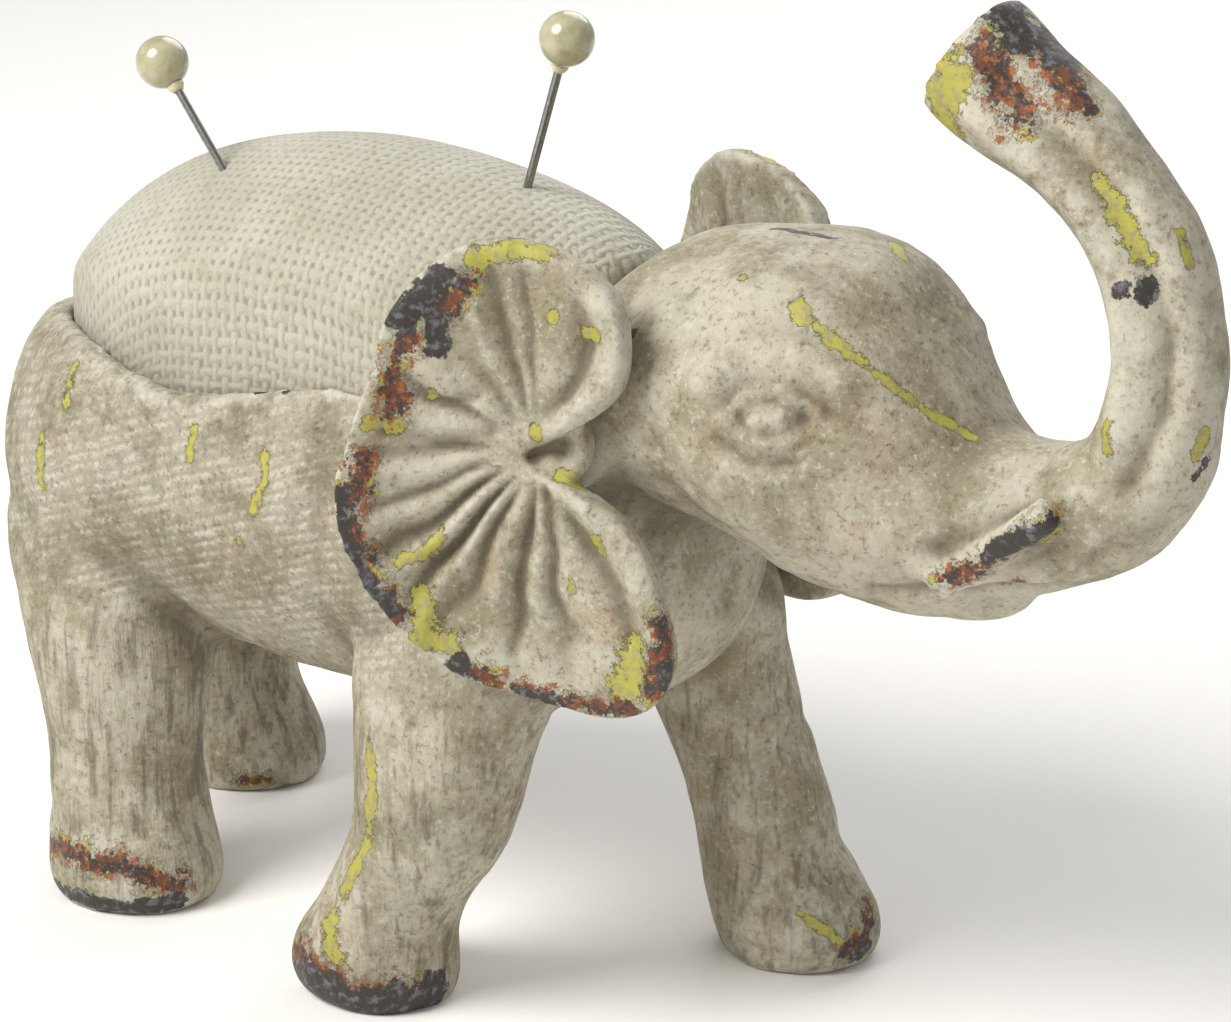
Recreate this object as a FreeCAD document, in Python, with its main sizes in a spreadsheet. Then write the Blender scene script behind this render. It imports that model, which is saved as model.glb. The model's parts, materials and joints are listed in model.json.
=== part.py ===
"""Elephant pincushion: a painted resin elephant. Its hollow back holds a stuffed cushion with two pins.

Millimetres. +X is the way the elephant faces, +Y is its left side and +Z is up. The soles stand on Z = 0.
The last step moves every piece together, so that the origin is the bottom centre of the whole object.
"""

import FreeCAD, Part
import math
import os

from FreeCAD import Placement, Rotation, Vector

X_AXIS = Vector(1, 0, 0)
Y_AXIS = Vector(0, 1, 0)
Z_AXIS = Vector(0, 0, 1)

# ---------------------------------------------------------------- driving dimensions

SINGLE_SIZES = {
    # the pocket in the back
    "pocket_floor_height": 48.0,
    "pocket_wall": 3.0,
    "pocket_plan_height": 66.0,
    "pocket_front": 38.0,
    "pocket_back": -46.5,
    "pocket_corner_inset": 2.0,
    "pocket_corner_share": 0.55,
    "pocket_back_margin": 5.0,
    "pocket_front_margin": 4.0,
    # ears
    "right_ear_hub_forward": 43.5,
    "right_ear_hub_out": 22.6,
    "right_ear_flare": 20.0,
    "right_ear_hub_height": 70.0,
    "left_ear_hub_forward": 36.0,
    "left_ear_hub_out": 24.9,
    "left_ear_flare": 12.0,
    "left_ear_hub_height": 68.6,
    "ear_bowl_radius": 40.0,
    "ear_thickness": 2.6,
    "ear_blank_half_depth": 20.0,
    "ear_root_radius": 5.0,
    "ear_root_length": 3.0,
    "ear_boss_radius": 6.4,
    "ear_boss_length": 8.0,
    "ear_peg_radius": 2.0,
    "ear_peg_length": 5.0,
    "ear_peg_clearance": 0.1,
    # tusks
    "tusk_root_forward": 83.0,
    "tusk_root_out": 8.5,
    "tusk_root_height": 60.5,
    "tusk_length": 17.0,
    "tusk_root_radius": 2.6,
    "tusk_tip_radius": 1.7,
    "tusk_rise": 38.0,
    "tusk_spread": 3.0,
    # lower lip
    "lip_forward": 81.0,
    "lip_height": 57.5,
    "lip_half_length": 8.0,
    "lip_half_width": 5.0,
    "lip_half_height": 3.6,
    # cushion
    "cushion_clearance": 0.3,
    "cover_thickness": 0.8,
    "board_clearance": 0.2,
    "board_thickness": 1.5,
    "hem_width": 7.0,
    "glue_thickness": 1.2,
    "glue_bead_radius": 3.0,
    "glue_bead_inset": 5.5,
    "glue_ring_share": 0.92,
    "thread_radius": 0.3,
    "thread_clearance": 0.3,
    # pins, each placed by the point where it enters the cushion
    "pin_radius": 0.475,
    "pin_length": 38.0,
    "pin_point_length": 4.0,
    "pin_point_radius": 0.06,
    "pin_hole_clearance": 0.05,
    "pin_hole_spare": 0.3,
    "pearl_radius": 3.0,
    "pearl_bore_depth": 3.6,
    "collar_neck_radius": 0.57,
    "collar_brim_radius": 1.235,
    "collar_length": 0.8,
    "collar_cup_depth": 0.4,
    "rear_pin_entry_forward": -14.4,
    "rear_pin_entry_left": -9.0,
    "rear_pin_entry_height": 87.6,
    "rear_pin_lean": -39.7,
    "rear_pin_showing": 11.4,
    "front_pin_entry_forward": 22.7,
    "front_pin_entry_left": 0.0,
    "front_pin_entry_height": 89.6,
    "front_pin_lean": 18.4,
    "front_pin_showing": 15.0,
}

GLUE_BEADS = 8
FAR = 100.0  # a cutting shape that has to clear the whole figure reaches this far
ABOVE_EVERYTHING = 130.0  # a height that clears the whole figure
OVERCUT = 1.0  # a bore or an opening starts this far outside what it cuts

# Cross-sections along X: place along X, height of the middle, half width, half height.
UPRIGHT = ("x", "z", "half_width", "half_height")
TORSO = {
    "rump_end": (-53.0, 48.0, 5.0, 8.0),
    "rump": (-49.0, 49.5, 12.3, 16.5),
    "haunch": (-40.0, 50.5, 20.3, 19.5),
    "loin": (-24.0, 54.0, 25.0, 24.0),
    "belly": (-4.0, 54.5, 25.5, 25.0),
    "ribs": (16.0, 55.0, 25.0, 25.0),
    "shoulder": (32.0, 56.5, 22.5, 24.0),
    "breast": (44.0, 58.0, 16.0, 21.0),
    "throat": (50.0, 60.0, 9.0, 14.0),
}
HEAD = {
    "nape": (38.0, 72.5, 11.0, 8.0),
    "temples": (43.0, 73.5, 17.0, 13.0),
    "crown": (54.0, 74.5, 18.4, 16.0),
    "brow": (65.0, 73.0, 18.0, 17.8),
    "face": (75.0, 69.8, 13.8, 16.5),
    "cheeks": (83.0, 66.0, 10.8, 10.6),
    "muzzle": (91.0, 66.8, 6.8, 6.4),
}
CUSHION = {
    "back": (-49.5, 48.0, 7.0, 13.5),
    "back_crown": (-45.0, 48.0, 13.0, 20.0),
    "rear_slope": (-37.5, 48.0, 20.0, 29.8),
    "rear_top": (-23.0, 48.0, 27.0, 39.2),
    "middle": (-5.0, 48.0, 29.0, 43.3),
    "front_top": (12.0, 48.0, 29.0, 43.3),
    "front_slope": (28.0, 48.0, 26.5, 40.2),
    "front_crown": (37.0, 48.0, 19.0, 36.0),
    "front": (42.0, 48.0, 12.0, 29.0),
}

# Level cross-sections up a leg: place along X and Y, height, half length along X, half width along Y.
LEVEL = ("x", "y", "z", "half_length", "half_width")
LEGS = {
    "hind_right": {
        "sole": (-24.4, -17.5, 0.0, 9.8, 9.2),
        "foot": (-24.4, -17.5, 3.5, 10.8, 10.0),
        "ankle": (-25.2, -17.5, 11.0, 9.6, 9.2),
        "shin": (-26.0, -17.0, 21.0, 9.8, 9.0),
        "thigh": (-27.5, -15.5, 33.0, 12.5, 10.5),
        "hip": (-30.0, -12.5, 45.0, 14.5, 11.5),
        "hip_top": (-29.0, -10.0, 57.0, 8.0, 8.0),
    },
    "hind_left": {
        "sole": (-40.0, 17.5, 0.0, 9.8, 9.2),
        "foot": (-40.2, 17.5, 3.5, 10.6, 10.0),
        "ankle": (-42.8, 17.5, 11.0, 9.4, 9.2),
        "shin": (-42.5, 17.0, 21.0, 9.8, 9.0),
        "thigh": (-38.0, 15.5, 33.0, 12.5, 10.5),
        "hip": (-32.0, 12.5, 45.0, 14.0, 11.5),
        "hip_top": (-29.0, 10.0, 57.0, 8.0, 8.0),
    },
    "front_right": {
        "sole": (16.3, -19.5, 0.0, 8.7, 8.3),
        "foot": (16.0, -19.5, 4.0, 9.6, 9.2),
        "ankle": (18.4, -19.5, 11.0, 8.4, 8.6),
        "shin": (23.4, -19.0, 19.5, 9.0, 8.4),
        "knee": (25.3, -18.5, 27.0, 9.8, 8.8),
        "upper_leg": (25.6, -17.0, 36.0, 12.0, 9.6),
        "shoulder": (26.5, -13.5, 47.0, 12.5, 9.5),
        "shoulder_top": (26.0, -11.0, 58.0, 7.0, 7.0),
    },
    "front_left": {
        "sole": (46.8, 18.5, 0.0, 8.9, 8.3),
        "foot": (46.8, 18.5, 4.0, 10.0, 9.2),
        "ankle": (44.2, 18.5, 10.0, 9.0, 8.6),
        "shin": (41.5, 18.0, 18.0, 8.4, 8.2),
        "knee": (39.0, 17.0, 26.0, 8.6, 8.2),
        "upper_leg": (36.0, 15.0, 38.0, 9.6, 8.6),
        "shoulder": (32.0, 12.5, 49.0, 10.5, 8.6),
        "shoulder_top": (29.0, 10.0, 59.0, 6.5, 6.5),
    },
}

# The trunk's middle line, and its radius across and along the bend.
BEND = ("x", "z", "half_width", "half_depth")
TRUNK = {
    "root": (86.5, 66.2, 9.6, 9.0),
    "lip_end": (93.0, 67.3, 7.8, 7.4),
    "turn_start": (98.2, 70.2, 6.9, 6.8),
    "turn": (101.8, 75.0, 6.3, 6.4),
    "rise": (103.2, 81.0, 5.9, 6.1),
    "middle": (103.2, 87.5, 5.7, 5.8),
    "bend": (101.2, 94.2, 5.6, 5.6),
    "crook": (97.4, 99.7, 5.5, 5.5),
    "upper": (92.6, 104.2, 5.7, 6.0),
    "neck": (87.2, 107.4, 5.9, 6.4),
    "flare": (82.6, 110.2, 6.3, 7.0),
    "tip": (79.4, 112.3, 6.5, 7.2),
}

# The tail lies against the rump: height, how far back, half width, half depth.
DROP = ("z", "x", "half_width", "half_depth")
TAIL = {
    "root": (63.0, -52.0, 2.6, 2.2),
    "bend": (56.0, -53.8, 2.2, 2.0),
    "cord": (46.0, -53.8, 1.7, 1.7),
    "tuft_start": (38.0, -52.0, 1.9, 1.8),
    "tuft": (33.0, -50.8, 2.8, 2.2),
    "tuft_end": (28.0, -49.6, 1.2, 1.1),
}

# The rim's height along X, seen from the side.
PROFILE = ("x", "z")
RIM = {
    "tail_end": (-70.0, 62.0),
    "rump": (-46.0, 65.6),
    "haunch": (-34.0, 67.4),
    "loin": (-23.0, 67.0),
    "dip": (-14.0, 65.4),
    "flank": (3.0, 67.8),
    "shoulder": (18.0, 71.0),
    "neck": (36.0, 75.0),
    "front_end": (60.0, 78.0),
}

# The ear's outline, seen square on, from the hub: forward and up. Two lobes meet at a notch on the hub.
LOBES = ("forward", "up")
EAR = {
    "notch": (-1.2, -0.4),
    "upper_inner": (4.9, 3.2),
    "upper_cheek": (9.0, 7.0),
    "upper_front": (10.0, 12.0),
    "upper_brow": (8.4, 17.0),
    "upper_top": (0.4, 21.4),
    "upper_crest": (-5.8, 21.6),
    "upper_back": (-14.7, 14.4),
    "waist": (-17.6, 5.0),
    "back": (-20.2, -4.0),
    "lower_back": (-17.3, -16.3),
    "lower_heel": (-9.0, -25.2),
    "lower_edge": (2.0, -27.9),
    "lower_tip": (10.4, -27.6),
    "lower_toe": (15.4, -22.0),
    "lower_front": (14.1, -14.5),
    "lower_inner": (6.0, -4.6),
}

document = FreeCAD.newDocument("elephant_pincushion")
sheet = document.addObject("Spreadsheet::Sheet", "sizes")


def put_cell(row, alias, value):
    sheet.set(f"A{row}", alias)
    sheet.set(f"B{row}", str(value))
    sheet.setAlias(f"B{row}", alias)
    return row + 1


def put_table(row, name, table, columns):
    for station, values in table.items():
        for column, value in zip(columns, values):
            row = put_cell(row, f"{name}_{station}_{column}", value)
    return row


def fill_sheet():
    row = 1
    for alias, value in SINGLE_SIZES.items():
        row = put_cell(row, alias, value)
    for name, table in (("torso", TORSO), ("head", HEAD), ("cushion", CUSHION)):
        row = put_table(row, name, table, UPRIGHT)
    for name, table in LEGS.items():
        row = put_table(row, f"{name}_leg", table, LEVEL)
    row = put_table(row, "trunk", TRUNK, BEND)
    row = put_table(row, "tail", TAIL, DROP)
    row = put_table(row, "rim", RIM, PROFILE)
    put_table(row, "ear_outline", EAR, LOBES)
    document.recompute()


def size(alias):
    return float(getattr(sheet, alias))


def rows(name, table, columns):
    """The sheet's values of one table, one tuple for each station."""
    return [tuple(size(f"{name}_{station}_{column}") for column in columns) for station in table]


fill_sheet()

# ---------------------------------------------------------------- helpers


def closed_curve(points):
    curve = Part.BSplineCurve()
    curve.interpolate(Points=points, PeriodicFlag=True)
    return Part.Wire(curve.toShape())


def oval(middle, across, up, half_across, half_up):
    """An oval wire round a middle. It always starts on the across axis, so lofts don't twist."""
    points = []
    for i in range(12):
        turn = math.radians(30 * i)
        points.append(middle + across * (half_across * math.cos(turn)) + up * (half_up * math.sin(turn)))
    return closed_curve(points)


def add_shape(name, shape):
    made = document.addObject("Part::Feature", name)
    made.Shape = shape
    return made


def add_loft(name, wires):
    return add_shape(name, Part.makeLoft(wires, True, False))


def upright_loft(name, table, prefix, shrink=0.0):
    wires = [
        oval(Vector(x, 0, z), Y_AXIS, Z_AXIS, half_width - shrink, half_height - shrink)
        for x, z, half_width, half_height in rows(prefix, table, UPRIGHT)
    ]
    return add_loft(name, wires)


def prism(name, wire, low, high):
    """A level outline, drawn at height 0, made solid between two heights."""
    face = Part.Face(wire)
    face.translate(Vector(0, 0, low))
    return add_shape(name, face.extrude(Vector(0, 0, high - low)))


def primitive(kind, name, place=None, **sizes):
    """A Part primitive whose sizes are formulas on the sheet."""
    made = document.addObject(f"Part::{kind}", name)
    for path, formula in sizes.items():
        made.setExpression(path, formula)
    if place:
        made.Placement = place
    return made


def boolean(kind, name, **links):
    """A boolean whose faces are kept as cut, because merging free-form faces can spoil them."""
    made = document.addObject(f"Part::{kind}", name)
    made.Refine = False
    for link, shapes in links.items():
        setattr(made, link, shapes)
    return made


def fuse(name, *shapes):
    return boolean("MultiFuse", name, Shapes=list(shapes))


def cut(name, base, tool):
    return boolean("Cut", name, Base=base, Tool=tool)


def common(name, *shapes):
    return boolean("MultiCommon", name, Shapes=list(shapes))


# ---------------------------------------------------------------- the casting


def leg(name, table):
    wires = [
        oval(Vector(x, y, z), X_AXIS, Y_AXIS, half_length, half_width)
        for x, y, z, half_length, half_width in rows(f"{name}_leg", table, LEVEL)
    ]
    return add_loft(f"{name}_leg", wires)


def trunk():
    stations = rows("trunk", TRUNK, BEND)
    middles = [Vector(x, 0, z) for x, z, _, _ in stations]
    wires = []
    for i, (_, _, half_width, half_depth) in enumerate(stations):
        before = middles[max(i - 1, 0)]
        after = middles[min(i + 1, len(middles) - 1)]
        along = (after - before).normalize()
        wires.append(oval(middles[i], Y_AXIS, along.cross(Y_AXIS), half_width, half_depth))
    return add_loft("trunk", wires)


def tail():
    wires = [
        oval(Vector(x, 0, z), X_AXIS, Y_AXIS, half_depth, half_width)
        for z, x, half_width, half_depth in rows("tail", TAIL, DROP)
    ]
    return add_loft("tail", wires)


def tusk(name, side):
    """A blunt cone beside the trunk's root. It rises forwards and spreads a little outwards."""
    root = Vector(size("tusk_root_forward"), side * size("tusk_root_out"), size("tusk_root_height"))
    turn = Rotation(Z_AXIS, side * size("tusk_spread")) * Rotation(Y_AXIS, 90 - size("tusk_rise"))
    return primitive(
        "Cone",
        name,
        Placement(root, turn),
        Radius1="sizes.tusk_root_radius",
        Radius2="sizes.tusk_tip_radius",
        Height="sizes.tusk_length",
    )


def lower_lip():
    return primitive(
        "Ellipsoid",
        "lower_lip",
        Placement(Vector(size("lip_forward"), 0, size("lip_height")), Rotation()),
        Radius1="sizes.lip_half_height",
        Radius2="sizes.lip_half_length",
        Radius3="sizes.lip_half_width",
    )


def above_rim():
    """Everything above the rim: its side profile, closed far above and drawn out across the body."""
    line = Part.BSplineCurve()
    line.interpolate([Vector(x, -FAR, z) for x, z in rows("rim", RIM, PROFILE)])
    start = line.value(line.FirstParameter)
    end = line.value(line.LastParameter)
    far_up = Vector(0, 0, FAR)
    border = Part.Wire([
        line.toShape(),
        Part.makeLine(end, end + far_up),
        Part.makeLine(end + far_up, start + far_up),
        Part.makeLine(start + far_up, start),
    ])
    return add_shape("above_rim", Part.Face(border).extrude(Vector(0, 2 * FAR, 0)))


def pocket_outline(inset):
    """The pocket seen from above: the torso's width at the rim less the wall, moved in by an inset."""
    height = size("pocket_plan_height")
    back = size("pocket_back") + inset
    front = size("pocket_front") - inset
    side = []
    for x, z, half_width, half_height in rows("torso", TORSO, UPRIGHT):
        reach = 1 - ((height - z) / half_height) ** 2
        if reach > 0 and back + size("pocket_back_margin") < x < front - size("pocket_front_margin"):
            side.append((x, half_width * math.sqrt(reach) - size("pocket_wall") - inset))
    corner_inset, corner_share = size("pocket_corner_inset"), size("pocket_corner_share")
    side.insert(0, (back + corner_inset, side[0][1] * corner_share))
    side.append((front - corner_inset, side[-1][1] * corner_share))
    points = [Vector(back, 0, 0)]
    points += [Vector(x, y, 0) for x, y in side]
    points += [Vector(front, 0, 0)]
    points += [Vector(x, -y, 0) for x, y in reversed(side)]
    return closed_curve(points)


# ---------------------------------------------------------------- the ears


def ear_frame(ear, side):
    """The hub of an ear. X is forward in the ear, Z is up and Y is the elephant's left."""
    hub = Vector(size(f"{ear}_hub_forward"), side * size(f"{ear}_hub_out"), size(f"{ear}_hub_height"))
    return Placement(hub, Rotation(Z_AXIS, -side * size(f"{ear}_flare")))


def ear_post(ear, piece, side, start, radius, length):
    """A round post square to the ear at its hub, from a distance inside it towards the head."""
    inward = ear_frame(ear, side) * Placement(Vector(0, -side * start, 0), Rotation(X_AXIS, side * 90))
    return primitive("Cylinder", f"{ear}_{piece}", inward, Radius=radius, Height=length)


def make_ear(name, side):
    """A dished plate: the outline's prism within a tube wall, with its root and its peg."""
    frame = ear_frame(name, side)
    depth = size("ear_blank_half_depth")
    border = closed_curve([Vector(forward, -depth, up) for forward, up in rows("ear_outline", EAR, LOBES)])
    outline = add_shape(f"{name}_outline", Part.Face(border).extrude(Vector(0, 2 * depth, 0)))
    outline.Placement = frame
    bowl = frame * Placement(Vector(0, side * size("ear_bowl_radius"), -FAR / 2), Rotation())
    outer_radius = "sizes.ear_bowl_radius + sizes.ear_thickness / 2"
    inner_radius = "sizes.ear_bowl_radius - sizes.ear_thickness / 2"
    outer = primitive("Cylinder", f"{name}_back", bowl, Radius=outer_radius, Height=str(FAR))
    inner = primitive("Cylinder", f"{name}_dish", bowl, Radius=inner_radius, Height=str(FAR))
    plate = common(f"{name}_plate", outline, cut(f"{name}_tube", outer, inner))
    root = ear_post(name, "root", side, 0, "sizes.ear_root_radius", "sizes.ear_root_length")
    peg_length = "sizes.ear_root_length + sizes.ear_peg_length"
    peg = ear_post(name, "peg", side, 0, "sizes.ear_peg_radius", peg_length)
    return fuse(name, plate, root, peg)


def ear_boss(ear, side):
    start = size("ear_root_length")
    return ear_post(ear, "boss", side, start, "sizes.ear_boss_radius", "sizes.ear_boss_length")


def ear_socket(ear, side):
    return ear_post(
        ear,
        "socket",
        side,
        size("ear_root_length") - OVERCUT,
        "sizes.ear_peg_radius + sizes.ear_peg_clearance",
        f"sizes.ear_peg_length + sizes.ear_peg_clearance + {OVERCUT}",
    )


# ---------------------------------------------------------------- pins


def pin_frame(name):
    """The point where a pin enters the cushion, with Z out along the pin."""
    entry = Vector(*(size(f"{name}_entry_{way}") for way in ("forward", "left", "height")))
    return Placement(entry, Rotation(Y_AXIS, size(f"{name}_lean")))


def along_pin(name, distance):
    return pin_frame(name) * Placement(Vector(0, 0, distance), Rotation())


def pin_shank(name):
    tip = size(f"{name}_showing") - size("pin_length")
    point = primitive(
        "Cone",
        f"{name}_point",
        along_pin(name, tip),
        Radius1="sizes.pin_point_radius",
        Radius2="sizes.pin_radius",
        Height="sizes.pin_point_length",
    )
    wire = primitive(
        "Cylinder",
        f"{name}_wire",
        along_pin(name, tip + size("pin_point_length")),
        Radius="sizes.pin_radius",
        Height="sizes.pin_length - sizes.pin_point_length + sizes.pearl_bore_depth",
    )
    return fuse(f"{name}_shank", point, wire)


def pin_bore(name, piece, start, length):
    place = along_pin(name, start)
    return primitive("Cylinder", f"{name}_{piece}_bore", place, Radius="sizes.pin_radius", Height=length)


def pin_pearl(name):
    showing = size(f"{name}_showing")
    middle = along_pin(name, showing + size("pearl_radius"))
    ball = primitive("Sphere", f"{name}_ball", middle, Radius="sizes.pearl_radius")
    bore = pin_bore(name, "pearl", showing - OVERCUT, f"sizes.pearl_bore_depth + {OVERCUT}")
    return cut(f"{name}_pearl", ball, bore)


def pin_collar(name):
    """A bead of glue round the shank, cupped to the pearl."""
    start = size(f"{name}_showing") - size("collar_length")
    bead = primitive(
        "Cone",
        f"{name}_bead",
        along_pin(name, start),
        Radius1="sizes.collar_neck_radius",
        Radius2="sizes.collar_brim_radius",
        Height="sizes.collar_length + sizes.collar_cup_depth",
    )
    ball = primitive(
        "Sphere",
        f"{name}_collar_cup",
        along_pin(name, size(f"{name}_showing") + size("pearl_radius")),
        Radius="sizes.pearl_radius",
    )
    bore = pin_bore(name, "collar", start - OVERCUT, f"sizes.collar_length * 2 + {OVERCUT}")
    return cut(f"{name}_collar", bead, fuse(f"{name}_collar_inside", ball, bore))


def pin_channel(name):
    """The hole that a pin keeps open in the stuffing, deep enough for the pin pushed home."""
    return primitive(
        "Cylinder",
        f"{name}_channel",
        along_pin(name, -size("pin_length") - size("pin_hole_spare")),
        Radius="sizes.pin_radius + sizes.pin_hole_clearance",
        Height="sizes.pin_length + sizes.pin_hole_spare + sizes.pin_point_length",
    )


# ---------------------------------------------------------------- assembly

pins = ("rear_pin", "front_pin")

torso_blank = upright_loft("torso_blank", TORSO, "torso")
torso = cut("torso", torso_blank, above_rim())
legs = [leg(name, table) for name, table in LEGS.items()]
skull = upright_loft("skull", HEAD, "head")
body_form = fuse("body_form", torso, *legs, tail())
head_form = fuse("head_form", skull, trunk(), tusk("right_tusk", -1), tusk("left_tusk", 1), lower_lip())
figure = fuse("bare_figure", body_form, head_form)
for name, side in (("right_ear", -1), ("left_ear", 1)):
    figure = fuse(f"figure_with_{name}_boss", figure, ear_boss(name, side))
floor = size("pocket_floor_height")
pocket = prism("pocket", pocket_outline(0), floor, ABOVE_EVERYTHING)
sockets = fuse("ear_sockets", ear_socket("right_ear", -1), ear_socket("left_ear", 1))
elephant_casting = cut("elephant_casting", cut("hollow_figure", figure, pocket), sockets)

right_ear = make_ear("right_ear", -1)
left_ear = make_ear("left_ear", 1)

# The cushion is stacked up from the pocket's floor: glue, hem, board, stuffing. The cover goes round them.
hem_height = floor + size("glue_thickness")
board_height = hem_height + size("cover_thickness")
stuffing_height = board_height + size("board_thickness")
cover_inset = size("cushion_clearance")
stuffing_inset = cover_inset + size("cover_thickness")
hem_inset = stuffing_inset + size("hem_width")

outer_form = common(
    "outer_form",
    upright_loft("outer_dome", CUSHION, "cushion"),
    prism("outer_side", pocket_outline(cover_inset), hem_height, ABOVE_EVERYTHING),
)
inner_form = common(
    "inner_form",
    upright_loft("inner_dome", CUSHION, "cushion", size("cover_thickness")),
    prism("inner_side", pocket_outline(stuffing_inset), board_height, ABOVE_EVERYTHING),
)
hem_opening = prism("hem_opening", pocket_outline(hem_inset), hem_height - OVERCUT, board_height + OVERCUT)
channels = fuse("pin_channels", *(pin_channel(name) for name in pins))

cover_tools = fuse("cover_tools", inner_form, hem_opening, channels)
cushion_cover = cut("cushion_cover", outer_form, cover_tools)
below_stuffing = prism("below_stuffing", pocket_outline(0), hem_height - OVERCUT, stuffing_height)
stuffing_tools = fuse("stuffing_tools", below_stuffing, channels)
cushion_filling = cut("cushion_filling", inner_form, stuffing_tools)
board_outline = pocket_outline(stuffing_inset + size("board_clearance"))
cushion_board = prism("cushion_board", board_outline, board_height, stuffing_height)


def gathering_thread():
    """The running thread that draws the hem in. It lies in a ring against the hem's cut edge."""
    radius = size("thread_radius")
    path = pocket_outline(hem_inset + radius + size("thread_clearance"))
    path.translate(Vector(0, 0, hem_height + size("cover_thickness") / 2))
    first = path.Edges[0]
    start = first.valueAt(first.FirstParameter)
    section = Part.Wire(Part.makeCircle(radius, start, first.tangentAt(first.FirstParameter)))
    return add_shape("gathering_thread", path.makePipeShell([section], True, False))


def glue_beads():
    """Dots of glue between the pocket's floor and the hem, round the pocket."""
    box = pocket_outline(size("glue_bead_inset")).BoundBox
    half_length = box.XLength / 2 * size("glue_ring_share")
    half_width = box.YLength / 2 * size("glue_ring_share")
    beads = []
    for i in range(GLUE_BEADS):
        turn = math.tau * (i + 0.5) / GLUE_BEADS
        place = Vector(box.Center.x + half_length * math.cos(turn), half_width * math.sin(turn), floor)
        beads.append(primitive(
            "Cylinder",
            f"glue_bead_{i + 1}",
            Placement(place, Rotation()),
            Radius="sizes.glue_bead_radius",
            Height="sizes.glue_thickness",
        ))
    return fuse("glue_beads", *beads)


pieces = [
    elephant_casting,
    right_ear,
    left_ear,
    cushion_board,
    cushion_filling,
    cushion_cover,
    gathering_thread(),
    glue_beads(),
]
for name in pins:
    pieces += [pin_shank(name), pin_pearl(name), pin_collar(name)]

document.recompute()

for piece in pieces:
    faulty = {"Invalid", "Error"} & set(piece.State)
    if faulty or piece.Shape.isNull() or not piece.Shape.isValid():
        raise RuntimeError(f"{piece.Name} could not be made: {piece.State}")

# ---------------------------------------------------------------- the origin: the object's bottom centre


def exact_box(shape):
    return shape.optimalBoundingBox(False)


whole = exact_box(pieces[0].Shape)
for piece in pieces[1:]:
    whole.add(exact_box(piece.Shape))
shift = Vector(-whole.Center.x, -whole.Center.y, -whole.ZMin)

os.makedirs("parts", exist_ok=True)
for piece in pieces:
    piece.Label = piece.Name
    piece.Placement = Placement(shift, Rotation()) * piece.Placement
    piece.Shape.exportStep(f"parts/{piece.Label}.step")
    print(piece.Label, len(piece.Shape.Solids), round(piece.Shape.Volume, 1))
print("size", [round(value, 2) for value in (whole.XLength, whole.YLength, whole.ZLength)], "shift", shift)
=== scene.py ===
import json
import math
import bpy
import bmesh
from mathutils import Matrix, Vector, kdtree, noise
from mathutils.bvhtree import BVHTree


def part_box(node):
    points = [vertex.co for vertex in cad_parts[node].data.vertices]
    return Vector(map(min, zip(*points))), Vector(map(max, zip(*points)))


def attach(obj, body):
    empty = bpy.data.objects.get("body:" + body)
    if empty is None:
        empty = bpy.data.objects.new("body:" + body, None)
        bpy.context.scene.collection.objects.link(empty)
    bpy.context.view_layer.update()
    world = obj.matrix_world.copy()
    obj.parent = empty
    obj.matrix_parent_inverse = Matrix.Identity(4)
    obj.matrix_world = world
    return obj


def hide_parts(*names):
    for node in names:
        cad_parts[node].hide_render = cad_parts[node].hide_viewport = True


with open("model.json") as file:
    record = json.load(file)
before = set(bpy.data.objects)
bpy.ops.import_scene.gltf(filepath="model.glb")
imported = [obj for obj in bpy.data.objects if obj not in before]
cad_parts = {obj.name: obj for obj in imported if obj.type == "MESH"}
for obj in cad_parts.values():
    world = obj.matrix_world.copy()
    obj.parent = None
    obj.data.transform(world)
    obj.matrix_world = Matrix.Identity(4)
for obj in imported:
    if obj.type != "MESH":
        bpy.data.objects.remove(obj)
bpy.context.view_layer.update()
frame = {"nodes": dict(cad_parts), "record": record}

scene = bpy.context.scene
scene.view_settings.view_transform = "Standard"
mm = 0.001

# The figure is measured from a point on the floor under its belly: forward, left and up, in millimetres.
figure = {"rumpBehindZero": 56.2, "zeroLeftOfMiddle": 0.5}
castLow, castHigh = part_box("elephant_casting")
zero = Vector((castLow.x + figure["rumpBehindZero"] * mm,
               (castLow.y + castHigh.y) / 2 + figure["zeroLeftOfMiddle"] * mm, 0))


def place(forward, left, up):
    return zero + Vector((forward, left, up)) * mm


def smoothStep(low, high, value):
    share = min(max((value - low) / (high - low), 0), 1)
    return share * share * (3 - 2 * share)


def cleanCopy(name, *nodes):
    form = bmesh.new()
    for node in nodes:
        form.from_mesh(frame["nodes"][node].data)
    bmesh.ops.remove_doubles(form, verts=form.verts, dist=0.001 * mm)
    return finishPiece(name, form)


def smoothed(form, verts, rounds):
    for _ in range(rounds):
        bmesh.ops.smooth_vert(form, verts=verts, factor=0.5, use_axis_x=True, use_axis_y=True,
                              use_axis_z=True)


def finishPiece(name, form):
    mesh = bpy.data.meshes.new(name)
    form.to_mesh(mesh)
    form.free()
    piece = bpy.data.objects.new(name, mesh)
    scene.collection.objects.link(piece)
    return piece


def bake(piece):
    graph = bpy.context.evaluated_depsgraph_get()
    mesh = bpy.data.meshes.new_from_object(piece.evaluated_get(graph))
    piece.modifiers.clear()
    piece.data = mesh
    mesh.name = piece.name


def voxelRemesh(piece, voxel):
    modifier = piece.modifiers.new("Remesh", "REMESH")
    modifier.mode = "VOXEL"
    modifier.voxel_size = voxel * mm
    modifier.use_smooth_shade = True
    bake(piece)


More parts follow.
